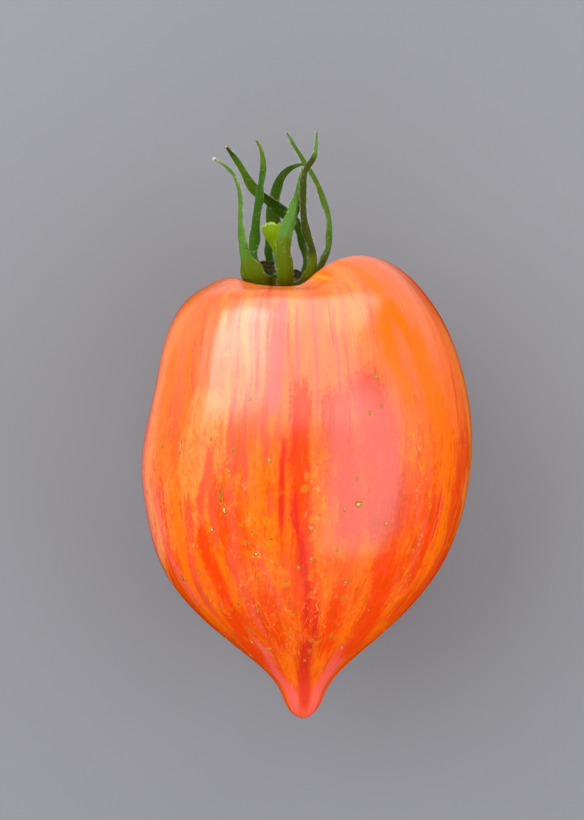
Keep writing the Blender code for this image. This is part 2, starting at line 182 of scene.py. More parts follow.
# %% The outline, from the tip to the stem pole
OUTLINE = (  # radius, height above the tip, share of the shoulders' lift, lobes' depth, centre's shift
    (0.0, 0.0, 0.0, 0.0, -0.7),  # tip
    (2.3, 1.1, 0.0, 0.03, -0.7),  # round end of the nipple
    (4.7, 5.6, 0.0, 0.04, -0.7),  # neck of the nipple
    (9.9, 11.6, 0.0, 0.032, -0.9),  # throat
    (19.9, 20.6, 0.0, 0.02, -1.2),  # lower flank
    (27.3, 29.6, 0.0, 0.014, -1.1),  # flank
    (31.5, 41.0, 0.0, 0.012, -0.4),  # belly
    (32.9, 52.0, 0.0, 0.012, 0.0),  # widest station
    (31.1, 65.6, 0.0, 0.014, 0.8),  # upper belly
    (27.8, 77.6, 0.02, 0.02, 0.3),  # shoulder
    (24.1, 83.6, 0.16, 0.026, 0.1),  # turn of the shoulder
    (19.0, 87.15, 0.8, 0.032, -0.6),  # brow
    (12.4, 88.6, 1.0, 0.03, -2.6),  # crest
    (7.4, 85.7, 0.6, 0.02, -4.2),  # slope of the pit
    (3.2, 84.3, 0.1, 0.01, -4.7),  # floor of the pit
    (0.0, 84.0, 0.0, 0.0, -4.7),  # stem pole
)
CREST_ROW = 12
SHOULDERS = (  # direction round the stem in degrees from +X towards +Z, and the crest's height
    (0.0, 92.2), (35.0, 91.4), (60.0, 89.4), (80.0, 86.2), (100.0, 85.2), (125.0, 85.9),
    (150.0, 87.4), (180.0, 87.9), (225.0, 88.0), (270.0, 88.3), (315.0, 90.6),
)
THICKNESS = 0.93  # height of the lying fruit as a share of its width
LOBES = 5
LOBE_CREST = 54.0  # direction of one lobe's crest, in degrees
GROOVE_SHARPNESS = 1.6
FLANK_LEVEL = 0.34  # the wave's height on both flanks, taken off so that the width stays true
REST_STATION = 52.0  # the rest spot is under this height above the tip
MIRRORED_ROWS = 3  # rows of the outline that are repeated past each pole
SKIN_RINGS = 290
SKIN_SIDES = 330


def outline_stations(count):
    """Evenly spaced stations on the outline, which is mirrored past both poles to cross them level."""
    rows = np.array(OUTLINE)
    knots = chord_knots(rows[:, :2])
    across = np.array([-1.0, 1.0, 1.0, 1.0, 1.0])
    before = slice(MIRRORED_ROWS, 0, -1)
    after = slice(-2, -2 - MIRRORED_ROWS, -1)
    all_rows = np.concatenate([rows[before] * across, rows, rows[after] * across])
    all_knots = np.concatenate([-knots[before], knots, 2.0 * knots[-1] - knots[after]])
    along = np.linspace(0.0, knots[-1], count)
    return along, natural_spline(all_knots, all_rows, along)


def lobe_wave(angle):
    """A wave round the fruit, 1 on the broad crests and -1 in the narrow grooves, less the flanks' level."""
    wave = np.cos(LOBES * (angle - np.radians(LOBE_CREST)))
    return 1.0 - 2.0 * ((1.0 - wave) / 2.0) ** GROOVE_SHARPNESS - FLANK_LEVEL


def shoulder_heights(angle):
    """The closed curve through the crest's heights, less the outline's own crest height."""
    rows = np.array(SHOULDERS)
    turns = np.concatenate([rows[:, 0] - 360.0, rows[:, 0], rows[:, 0] + 360.0])
    heights = np.tile(rows[:, 1], 3)[:, None]
    return natural_spline(turns, heights, np.degrees(angle))[:, 0] - OUTLINE[CREST_ROW][1]


def skin_grid(stations, angle):
    """x = shift + reach cos(angle), y = height + lift, z = thickness x reach sin(angle).

    The reach is the radius, made a little longer on the lobes and shorter in the grooves.
    """
    radius, height, lift, lobe, shift = (stations[:, [column]] for column in range(5))
    reach = radius * (1.0 + lobe * lobe_wave(angle))
    x = shift + reach * np.cos(angle)
    y = height + lift * shoulder_heights(angle) - REST_STATION
    z = THICKNESS * reach * np.sin(angle)
    return np.stack([x, y, z], axis=-1), reach


along, stations = outline_stations(SKIN_RINGS + 2)
angle = np.arange(SKIN_SIDES) * 2.0 * np.pi / SKIN_SIDES
skin, reach = skin_grid(stations, angle)
axis_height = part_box("fruit")[1][2] / MM - skin[:, :, 2].max()
skin[:, :, 2] += axis_height
crest_along = chord_knots(np.array(OUTLINE)[:, :2])[CREST_ROW]
print("outline", round(along[-1], 1), "mm long, axis", round(axis_height, 2), "mm above the floor")

# %% [markdown]
# ## Relief on the skin
#
# A ripe fruit isn't a perfect surface. The lobes are softest on the belly, faint ridges run lengthwise,
# and the whole skin has slow, shallow dents. Each of these is a height in millimetres that is added along
# the surface's own normal. The normal of a grid is the cross product of the steps to the next ring and to
# the next place round.

# %% Ease the lobes, and add ridges and dents
LOBE_EASE = 0.7  # share of the lobes' depth that is smoothed away on the belly
BELLY_BEGINS = (12.0, 30.0)  # millimetres along the outline
BELLY_ENDS = (82.0, 100.0)
DENTS = (0.09, (25.0, 60.0), (-5, 5), 9)  # height, lengths along, turns round, how many waves
RIDGES = (0.02, (90.0, 400.0), (18, 60), 12)
CALM_RADIUS = 9.0  # the relief fades out within this radius of the poles
TINY = 1e-9
chance = np.random.default_rng(11)


def grid_normals(grid):
    """Unit cross products of the steps along the rings and across them, for rings closed on themselves."""
    across = np.gradient(grid, axis=0)
    around = np.roll(grid, -1, axis=1) - np.roll(grid, 1, axis=1)
    normals = np.cross(around, across)
    return normals / (np.linalg.norm(normals, axis=2)[:, :, None] + TINY)


def turned_by(angle, centre):
    """The angle from the centre, between -180 and 180 degrees."""
    return (np.degrees(angle) - centre + 180.0) % 360.0 - 180.0


def slow_waves(height, lengths, turns, count):
    """height x the sum of cosines of along / length and whole turns, with random phases, / root of count."""
    total = np.zeros((len(along), len(angle)))
    for _ in range(count):
        length = chance.uniform(*lengths)
        turn = chance.integers(turns[0], turns[1] + 1)
        phase = chance.uniform(0.0, 2.0 * np.pi)
        total += np.cos(2.0 * np.pi * along[:, None] / length + turn * angle[None, :] + phase)
    return height * (total / np.sqrt(count))


belly = smooth_step(*BELLY_BEGINS, along) * (1.0 - smooth_step(*BELLY_ENDS, along))
lobe_depth = stations[:, 3] * stations[:, 0] * belly
relief = -LOBE_EASE * lobe_depth[:, None] * lobe_wave(angle)[None, :]
relief += slow_waves(*DENTS)
relief += slow_waves(*RIDGES)
relief *= smooth_step(0.0, CALM_RADIUS, stations[:, [0]])
outward = grid_normals(skin)
outward *= np.sign((outward[:, :, 0] * np.cos(angle)).sum())
skin += relief[:, :, None] * outward
skin[:, :, 2] = np.maximum(skin[:, :, 2], 0.0)
print("relief from", round(relief.min(), 2), "to", round(relief.max(), 2), "mm")

# %% [markdown]
# ## Brush strokes along the fruit
#
# The stripes of this fruit run from pole to pole, and no two are alike. The ones that face the camera
# are listed one by one: each is a soft brush stroke through a few points on the skin, from the stem end to
# the tip, given as millimetres right of the axis and above the tip. A stroke's strength falls off as a
# bell curve, exp(-(distance / width)^2), to both sides of its line. The strokes of one colour go into
# one number for each point of the mesh, which the shader reads.
# Not every listed stroke is a stripe: some cream, coral, crimson and dark rose strokes are painted light and
# shade, as said at each.

# %% The strokes that face up
STROKES = {  # width, strength, then right of the axis and above the tip, for each point
    "rose": (
        (0.6, 0.4, -24.2, 71, -24.4, 64), (0.8, 0.45, -21.2, 72, -21.5, 67),
        (1, 0.4, -18.6, 82, -19.8, 74), (0.6, 0.7, -7, 85, -7, 79), (0.4, 0.9, -9, 79, -9.2, 68),
        (0.35, 0.9, -7.6, 76, -7.5, 62), (0.35, 0.7, -3.8, 76, -3.4, 62),
        (0.3, 0.6, -12.6, 79, -12.7, 70), (0.6, 0.9, -14, 61, -13.5, 52),
        (0.45, 0.9, -11.7, 61, -11.4, 51), (0.8, 0.8, -8, 60, -7.7, 55),
        (1.2, 0.8, -18.4, 50, -19.8, 45), (1.2, 0.8, -17.6, 45, -17, 41),
        (1.2, 1, -21.8, 40, -22, 35, -21.4, 31, -19.6, 26), (0.9, 0.9, -14, 44, -13.2, 37),
        (1, 1, -13.8, 33, -12.4, 29.6, -9.6, 23), (0.8, 0.6, -8, 33, -6, 27),
        (0.8, 0.35, 10.8, 84, 12, 77), (1.4, 0.5, 12.4, 67, 15, 58, 14.6, 52),
        (0.8, 0.9, 24.2, 42.5, 24, 40.5), (0.5, 0.8, 28.3, 65, 28.6, 62), (0.7, 0.7, 20.4, 52, 20.6, 44),
        (1, 0.8, 21, 37, 19.6, 31), (0.7, 0.6, 12, 28, 10.6, 22),
    ),
    "coral": (
        (1.2, 1.2, -5.4, 78, -5.7, 66), (0.35, 0.8, -2.2, 78, -2, 68), (0.35, 0.8, 1, 80, 1.4, 66),
        (0.4, 0.7, 4.6, 78, 5.4, 68), (0.4, 0.6, -10.2, 78, -10.2, 66),
        # The two strokes at the tip are painted highlights: the pink on both sides of its point.
        (1.6, 0.8, -8.6, 15, -5.4, 9, -2.6, 4), (1.8, 1, 6.4, 14, 4, 9, 2, 3.5),
        (1.6, 0.6, -29, 44, -27, 36, -22.4, 27),
    ),
    # The two broad dark rose strokes under the right highlight are painted shade: they darken that part of
    # the skin.
    "dark_rose_and_painted_shade": (
        (3.8, 0.8, 5.4, 62, 6, 56, 7.6, 46, 8, 42), (4.4, 0.9, 10.6, 64, 13, 58, 14.5, 46, 14, 42),
    ),
    "ember": (
        (2, 1, -1.4, 62, -1.6, 52, -1, 36, 0.4, 22),
        (1.6, 1, -19.2, 36, -16.8, 30.4, -14.4, 24, -10.6, 16), (1.8, 0.8, -13.6, 20, -10, 14),
        (3, 0.9, 14, 32, 13, 25, 9, 16), (2, 0.8, 5.6, 27, 3.6, 17), (1.2, 0.8, 23, 40, 20.4, 31),
        (1.4, 0.7, -7.4, 26, -5.2, 18),
    ),
    "crimson": (
        (0.7, 0.6, -2.2, 60, -2.4, 57), (0.7, 0.9, -4.7, 52, -4.7, 47, -5, 44),
        (0.7, 1, -2.2, 42, -1.5, 38.8, -1.1, 36), (0.8, 0.8, -0.6, 32.6, 0, 28, -0.2, 24),
        (0.7, 0.8, 1.2, 22, 1.2, 18.4, -0.2, 15.6), (1.5, 0.8, -0.2, 16, -0.6, 10, -0.4, 6),
        # The short stroke at about 89 to 90 mm, by the calyx, is painted shadow where a sepal meets the
        # skin.
        (1, 0.4, -11.5, 32, -10, 26, -7.4, 20), (0.7, 0.4, 2, 88.6, 2.8, 90),
        (0.4, 0.7, 24.4, 42, 24.3, 40.6), (0.3, 0.5, 4, 81, 4.2, 76), (0.5, 0.35, 11.2, 46, 11.4, 42),
        (0.3, 0.5, 6.8, 72, 7.6, 67), (0.3, 0.5, 7.4, 65, 7.4, 58),
    ),
    "amber": (
        (1.7, 1, 12.6, 85, 17.1, 78.4, 20.5, 73, 22.6, 67), (3.3, 1, 21, 73, 23.4, 66, 25, 58, 26.2, 50),
        (1.8, 0.9, 26.4, 54, 26.6, 44, 24.6, 36), (1.9, 0.8, 13.6, 82.8, 14.6, 77, 16, 70, 18.4, 66),
        (3.2, 0.8, -26, 70, -27.6, 62, -27, 52), (0.9, 0.7, -22.8, 70, -22.6, 62),
        (1.9, 1, -9.2, 51, -9.4, 42), (0.8, 0.8, -6.4, 58, -6.8, 52), (1.6, 0.9, 3, 87, 2.6, 84),
        (0.8, 0.9, 8.4, 89, 11.6, 86), (1.2, 1, 2.6, 15, 3.4, 19), (0.9, 1, -3.2, 11, -4.6, 17, -7, 24),
        (3.4, 0.6, -25, 44, -22, 30, -17, 20), (2.2, 0.7, -6.4, 38, -7, 32), (2, 0.6, 9, 24, 6.6, 18),
        (1.4, 0.6, 2.8, 32, 4, 26),
    ),
    "straw": (
        (0.8, 0.7, 1.4, 87.8, 2, 87), (0.8, 0.5, -0.6, 86.8, 0.8, 86.6),
        (0.5, 0.3, -14.9, 84.6, -15, 80),
    ),
    # The broad cream strokes down both flanks, and those just below the stem, are painted light that
    # lightens the skin; the narrow band left of the middle and the cream strokes all round are pale stripes.
    "cream_and_painted_light": (
        (0.9, 0.5, -15, 84, -15, 70, -15.2, 60), (1.9, 0.8, -2.6, 85, -2.8, 79),
        (1.8, 0.7, 3.4, 85, 4.6, 79), (1.2, 0.6, -10.6, 84, -10.8, 70),
        (2.4, 0.6, 6, 88, 8.6, 82, 9, 77), (5, 0.7, -21, 84, -27, 70, -30.5, 54, -30, 42),
        (5.6, 0.7, -19, 62, -20, 52, -21.6, 42), (3, 0.7, -26, 47, -25, 38),
        (2.4, 1, 28, 74, 31.6, 60, 31.8, 46), (3, 1, 30.8, 46, 27.6, 30, 19.6, 17),
        (3, 0.9, -28, 38, -22.6, 22),
    ),
    "flecks": (
        (7, 0.8, -14, 50, -9, 30, -5, 17), (2.6, 1, 1.6, 50, 2, 30, 0.8, 17),
        (2.6, 1, 21, 56, 20.5, 38, 17, 26), (4, 0.7, -25, 58, -22, 36, -15, 24), (3, 0.7, 9, 30, 6, 20),
    ),
}
STROKE_FADE = 9.0  # millimetres over which a stroke runs out at its ends
UNSEEN = 1000.0  # added to the distance of the places that don't face up


def skin_place(right, height):
    """Distance along the outline and angle from -90 to 270, at the nearest point that faces up."""
    wanted = np.array([right, height - REST_STATION])
    miss = np.linalg.norm(skin[:, :, :2] - wanted, axis=2)
    hidden = (outward[:, :, 2] < 0.0) | (along > crest_along)[:, None]
    miss += UNSEEN * hidden
    ring, side = np.unravel_index(np.argmin(miss), miss.shape)
    return along[ring], (np.degrees(angle[side]) + 90.0) % 360.0 - 90.0


def stroke_value(width, strength, places):
    """strength x exp(-(distance / width)^2), with the line's angle read between its places."""
    starts, turns = np.array(sorted(places)).T
    line = np.interp(along, starts, turns)
    distance = np.radians(turned_by(angle[None, :], line[:, None])) * reach
    window = smooth_step(starts[0] - STROKE_FADE, starts[0], along)
    window *= 1.0 - smooth_step(starts[-1], starts[-1] + STROKE_FADE, along)
    return strength * window[:, None] * np.exp(-(distance / width) ** 2)


paint_maps = {}
for colour, rows in STROKES.items():
    layers = []
    for width, strength, *route in rows:
        places = [skin_place(*point) for point in zip(route[::2], route[1::2])]
        layers.append(stroke_value(width, strength, places))
    paint_maps[colour] = np.maximum.reduce(layers)
    print(colour, "has", len(rows), "strokes by hand")

# %% [markdown]
# The sides and the underside have stripes too, of the same widths and lengths. They follow a rule: a
# start, a length, a direction and a width are drawn at random, from a generator with a fixed seed, so
# that they come out the same each time.

# %% Strokes all the way round
STROKES_ROUND = {
    "rose": 40, "coral": 14, "dark_rose_and_painted_shade": 10, "ember": 30, "crimson": 18, "amber": 36, "cream_and_painted_light": 26, "flecks": 26,
}
HAND_FREE = (-190.0, 10.0)  # degrees round the fruit that no listed stroke covers
ROUND_STARTS = (6.0, 95.0)  # millimetres along the outline
ROUND_LENGTHS = (12.0, 55.0)
ROUND_DRIFT = 3.0  # degrees by which a stroke usually turns over its length
ROUND_WIDTHS = (0.6, 3.2)
ROUND_STRENGTHS = (0.3, 0.75)
for colour, count in STROKES_ROUND.items():
    for _ in range(count):
        turn = chance.uniform(*HAND_FREE)
        start = chance.uniform(*ROUND_STARTS)
        length = chance.uniform(*ROUND_LENGTHS)
        places = [(start, turn), (start + length, turn + chance.normal(0.0, ROUND_DRIFT))]
        width = chance.uniform(*ROUND_WIDTHS)
        layer = stroke_value(width, chance.uniform(*ROUND_STRENGTHS), places)
        paint_maps[colour] = np.maximum(paint_maps[colour], layer)
    print(colour, "covers", round(float((paint_maps[colour] > 0.3).mean()) * 100.0), "% of the skin")

# %% [markdown]
# ## Helpers for shader nodes
#
# A material is a small program of connected nodes. One short function adds a node, sets its options and
# fills its sockets, either with a plain value or with another node's output. The others name the things
# that are needed again and again: a mix of two colours, a soft threshold, a product and a noise. All of
# them add to the material that was started last.
# Colours are written as 0 to 255, as in a picture, and are turned into the linear light that shaders mix.
# A value that is the same all over a piece, such as its gloss, is set on the shader's own socket.

# %% Node helpers
bench = {}  # the node tree and the shader of the material that is being made


def paint(red, green, blue):
    """Linear light from 0 to 255: c / 12.92 in the darks, else ((c + 0.055) / 1.055)^2.4."""
    value = np.array([red, green, blue]) / 255.0
    linear = np.where(value <= 0.04045, value / 12.92, ((value + 0.055) / 1.055) ** 2.4)
    return (*[float(part) for part in linear], 1.0)


def new_material(name, roughness, **fixed):
    """Starts a material, with the values that are the same all over, for the helpers below to add to."""
    material = bpy.data.materials.new(name)
    material.use_nodes = True
    bench["tree"] = material.node_tree
    bench["shader"] = material.node_tree.nodes["Principled BSDF"]
    for key, value in {"Roughness": roughness, **fixed}.items():
        bench["shader"].inputs[key.replace("_", " ")].default_value = value
    return material


def node(kind, sockets=None, **options):
    """Adds a node, sets its options, and gives each named or numbered socket a value or a link."""
    made = bench["tree"].nodes.new("ShaderNode" + kind)
    for option, value in options.items():
        setattr(made, option, value)
    for key, value in (sockets or {}).items():
        if isinstance(value, bpy.types.NodeSocket):
            bench["tree"].links.new(value, made.inputs[key])
        else:
            made.inputs[key].default_value = value
    return made


def feed(value, socket):
    """Links a colour, a number or a normal to the shader."""
    bench["tree"].links.new(value, bench["shader"].inputs[socket])


def finish(colour, height=None, strength=0.0, distance=0.0):
    """Gives the shader its colour, and a bump from a height."""
    feed(colour, "Base Color")
    if height is not None:
        bump = node("Bump", {"Strength": strength, "Distance": distance, "Height": height})
        feed(bump.outputs["Normal"], "Normal")


def read_map(name, output="Fac"):
    """One of the numbers or vectors that the mesh keeps for each point."""
    return node("Attribute", attribute_name=name).outputs[output]


def mix(share, under, over):
    """The colour under with the colour over laid on it, by the share."""
    return node("Mix", {"Factor": share, 6: under, 7: over}, data_type="RGBA").outputs[2]


def soft(value, low, high, bottom=0.0, top=1.0):
    """An S-shaped rise from bottom to top, as the value goes from low to high."""
    sockets = {"Value": value, "From Min": low, "From Max": high, "To Min": bottom, "To Max": top}
    return node("MapRange", sockets, interpolation_type="SMOOTHSTEP").outputs["Result"]


def maths(operation, first, second):
    """One sum, product or the like of two numbers."""
    return node("Math", {0: first, 1: second}, operation=operation).outputs["Value"]


def times(first, second):
    """The product of two numbers."""
    return maths("MULTIPLY", first, second)


def about_half(value, gain):
    """The value less a half, times a gain."""
    return times(maths("SUBTRACT", value, 0.5), gain)


def stretched(vector, scale, shift=(0.0, 0.0, 0.0)):
    """The vector with each of its parts scaled: along a part with a small scale a pattern is drawn out."""
    return node("Mapping", {"Vector": vector, "Scale": scale, "Location": shift}).outputs["Vector"]


def noise(vector, scale, detail=2.0, roughness=0.5, distortion=0.0):
    """A soft random value about 0.5."""
    sockets = {"Vector": vector, "Scale": scale, "Detail": detail, "Roughness": roughness,
               "Distortion": distortion}
    return node("TexNoise", sockets).outputs["Fac"]


def grain(scale, detail, roughness=0.5):
    """A noise on the object's own place, with its scale for one millimetre."""
    place = node("TexCoord").outputs["Object"]
    return noise(stretched(place, (1.0 / MM,) * 3), scale, detail, roughness)


# %% [markdown]
# ## The skin's colours
#
# The skin is painted in layers, as a painter would: an orange ground that turns salmon on the shoulders,
# streaks and blots of amber and rose, fine pale and coral threads round the stem, and the strokes. The
# shoulders' salmon is partly paler skin by the stem and partly a painted reflection of the sky. Over
# them lie fibres, a soft marbling and a few scratches, and last the pale wisps and small olive dots. All
# of it runs lengthwise, so the noises read a vector that is stored with the mesh. Its first two parts go
# round the fruit and the third goes along it. A small scale along the fruit draws a pattern out into
# streaks, with no seam anywhere, and a little distortion keeps the streaks from being ruled lines.
# The strokes' edges are torn: a noise is added to a stroke's strength before its soft threshold, less of
# it for the thin, clean strokes of crimson, coral and rose.

# %% The skin material
GROUND_RED = paint(220, 66, 0)
GROUND_ORANGE = paint(232, 98, 6)
# Salmon of the shoulders: paler skin, and partly a painted reflection of the sky.
SALMON_AND_PAINTED_SHEEN = paint(234, 112, 60)
AMBER = paint(236, 104, 0)
ROSE = paint(220, 76, 40)
CORAL = paint(230, 88, 76)
STROKE_COLOURS = {
    # Cream: pale stripes, and painted light on the flanks and just below the stem.
    "cream_and_painted_light": paint(236, 126, 52),
    "amber": AMBER,
    "rose": ROSE,
    "coral": CORAL,
    # Dark rose: painted shade under the right highlight, and dark stripes all round.
    "dark_rose_and_painted_shade": paint(200, 62, 40),
    "ember": paint(224, 58, 0),
    "crimson": paint(204, 38, 18),
    "straw": paint(240, 146, 30),
}
STROKE_RAGGEDNESS = {"crimson": 0.4, "coral": 0.6, "rose": 0.8}
BRIGHT_ORANGE = paint(236, 110, 0)
SALMON = paint(242, 140, 66)
DEEP_RED = paint(190, 42, 4)
RUSSET = paint(190, 66, 6)
SCRATCH = paint(150, 50, 20)
NOISES = {  # scales round and along the fruit, octaves, roughness, distortion, shift of the pattern
    "fibres": (1.5, 0.14, 4.0, 0.7, 0.4, (0.0, 0.0, 0.0)),
    "streaks": (0.5, 0.065, 4.0, 0.6, 0.6, (0.0, 0.0, 0.0)),
    "blushes": (0.42, 0.07, 4.0, 0.6, 0.5, (40.0, 0.0, 0.0)),
    "patches": (0.16, 0.06, 3.0, 0.5, 0.5, (0.0, 0.0, 0.0)),
    "blots": (0.5, 0.24, 4.0, 0.65, 0.8, (0.0, 0.0, 0.0)),
    "threads": (1.9, 0.1, 4.0, 0.7, 0.4, (0.0, 30.3, 0.0)),
    "marbling": (0.6, 0.3, 5.0, 0.65, 0.5, (0.0, 0.0, 20.7)),
    "scratches": (2.4, 0.3, 2.0, 0.5, 0.0, (0.0, 0.0, 0.0)),
    "wisps": (1.25, 0.75, 3.0, 0.6, 0.9, (0.0, 0.0, 0.0)),
}
UNDER_STROKES = (  # noise, the values where the colour starts and is full, its share, the colour
    ("streaks", 0.52, 0.66, 0.45, AMBER),
    ("blushes", 0.55, 0.7, 0.4, ROSE),
    ("blots", 0.53, 0.62, 0.65, BRIGHT_ORANGE),
    ("blots", 0.47, 0.38, 0.55, ROSE),
)
THREADS = (("threads", 0.53, 0.68, 0.5, SALMON), ("threads", 0.47, 0.32, 0.7, CORAL))
OVER_STROKES = (
    ("fibres", 0.56, 0.72, 0.35, BRIGHT_ORANGE),
    ("fibres", 0.44, 0.3, 0.35, DEEP_RED),
    ("marbling", 0.52, 0.64, 0.4, ROSE),
    ("marbling", 0.48, 0.36, 0.45, RUSSET),
)

skin_material = new_material("ripe_skin", 0.2, Specular_IOR_Level=0.5)
place = read_map("place", "Vector")
noises = {}
for name, (around, lengthwise, octaves, roughness, distortion, shift) in NOISES.items():
    vector = stretched(place, (around, around, lengthwise), shift)
    noises[name] = noise(vector, 1.0, octaves, roughness, distortion)
fibres, streaks = noises["fibres"], noises["streaks"]
mottle = noise(place, 1.3, 3.0, 0.6)
ragged_edge = maths("ADD", about_half(fibres, 1.3), about_half(mottle, 1.1))
ragged_edge = maths("ADD", ragged_edge, about_half(streaks, 0.8))
shoulder = read_map("shoulder")
calm = maths("SUBTRACT", 1.0, times(shoulder, 0.7))
broken = times(shoulder, soft(streaks, 0.4, 0.6, 0.35, 1.0))


def lay(colour, layers, where):
    """Lays each layer's colour over the one so far, where its noise is past its threshold."""
    for name, start, full, share, shade in layers:
        here = times(soft(noises[name], start, full, 0.0, share), where)
        colour = mix(here, colour, shade)
    return colour


colour = mix(soft(noises["patches"], 0.4, 0.6), GROUND_RED, GROUND_ORANGE)
# The shoulders turn salmon: paler skin by the stem, and partly a painted reflection of the sky.
colour = mix(times(shoulder, 0.8), colour, SALMON_AND_PAINTED_SHEEN)
colour = lay(colour, UNDER_STROKES, calm)
colour = lay(colour, THREADS, broken)
for name, shade in STROKE_COLOURS.items():
    stroke = read_map(name)
    torn = maths("ADD", stroke, times(ragged_edge, STROKE_RAGGEDNESS.get(name, 1.0)))
    stroke_here = times(soft(torn, 0.14, 0.7, 0.0, 0.97), soft(stroke, 0.04, 0.3))
    colour = mix(stroke_here, colour, shade)
colour = lay(colour, OVER_STROKES, calm)
colour = mix(soft(noises["scratches"], 0.7, 0.76, 0.0, 0.5), colour, SCRATCH)

# %% Wisps and dots on the skin
OLIVE = paint(150, 112, 40)
OCHRE = paint(206, 122, 4)
DOT_SCALE = 0.5  # a cell of the dots is about two millimetres wide

clusters = noise(place, 0.22, 2.0)
specked = maths("ADD", read_map("flecks"), about_half(clusters, 1.6))
wisp_here = times(soft(noises["wisps"], 0.54, 0.72), soft(specked, 0.35, 0.9, 0.0, 0.75))
colour = mix(wisp_here, colour, SALMON)
wobble = noise(place, 0.9, 2.0)
bent = node("VectorMath", {0: place, 1: wobble}, operation="ADD").outputs["Vector"]
dots = node("TexVoronoi", {"Vector": bent, "Scale": DOT_SCALE, "Randomness": 1.0})
lottery = node("SeparateColor", {"Color": dots.outputs["Color"]})
size = soft(lottery.outputs["Red"], 0.35, 1.1)
nearness = maths("DIVIDE", dots.outputs["Distance"], maths("ADD", size, 0.0001))
dotted = soft(specked, 0.3, 0.6)
halo = times(soft(nearness, 0.8, 0.1, 0.0, 0.6), dotted)
core = times(soft(nearness, 0.42, 0.02, 0.0, 0.65), dotted)
colour = mix(core, mix(halo, colour, OCHRE), OLIVE)
finish(colour, fibres, 0.3, 0.00015)
feed(soft(fibres, 0.3, 0.7, 0.16, 0.25), "Roughness")

# %% Make the fruit
SHOULDER = (58.0, 88.0)  # millimetres along the outline where the shoulder starts and is full
TRUE_RADIUS = 30.0  # millimetres, the radius at which the stored vector is true to size
fruit = closed_surface("tomato_skin", skin[1:-1], skin[0, 0], skin[-1, 0], skin_material)
round_parts = TRUE_RADIUS * np.cos(angle)[None, :], TRUE_RADIUS * np.sin(angle)[None, :]
ring_vector = np.stack(np.broadcast_arrays(*round_parts, along[1:-1, None]), axis=-1).reshape(-1, 3)
ends = [(0.0, 0.0, along[0]), (0.0, 0.0, along[-1])]
keep_value(fruit, "place", np.concatenate([ring_vector, ends]))
for name, values in paint_maps.items():
    keep_value(fruit, name, np.concatenate([values[1:-1].ravel(), values[[0, -1], 0]]))
keep_rings(fruit, "shoulder", smooth_step(*SHOULDER, along[1:-1]), SKIN_SIDES, [0.0, 1.0])
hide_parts("fruit")
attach(fruit, "root")

# %% [markdown]
# ## The sepals
#
# Seven narrow sepals stand up round the stalk. Each one is a blade with a lens-shaped section, thick at
# its midrib and thin at its edges. The section is carried along the midrib's route: at each place it
# is laid out by the path's direction, by a side vector that turns as little as possible along the way,
# and by the vector square to both. Along the blade its width swells at the foot and runs out to a
# point, its edges wave a little, and a keel runs down its outer face.

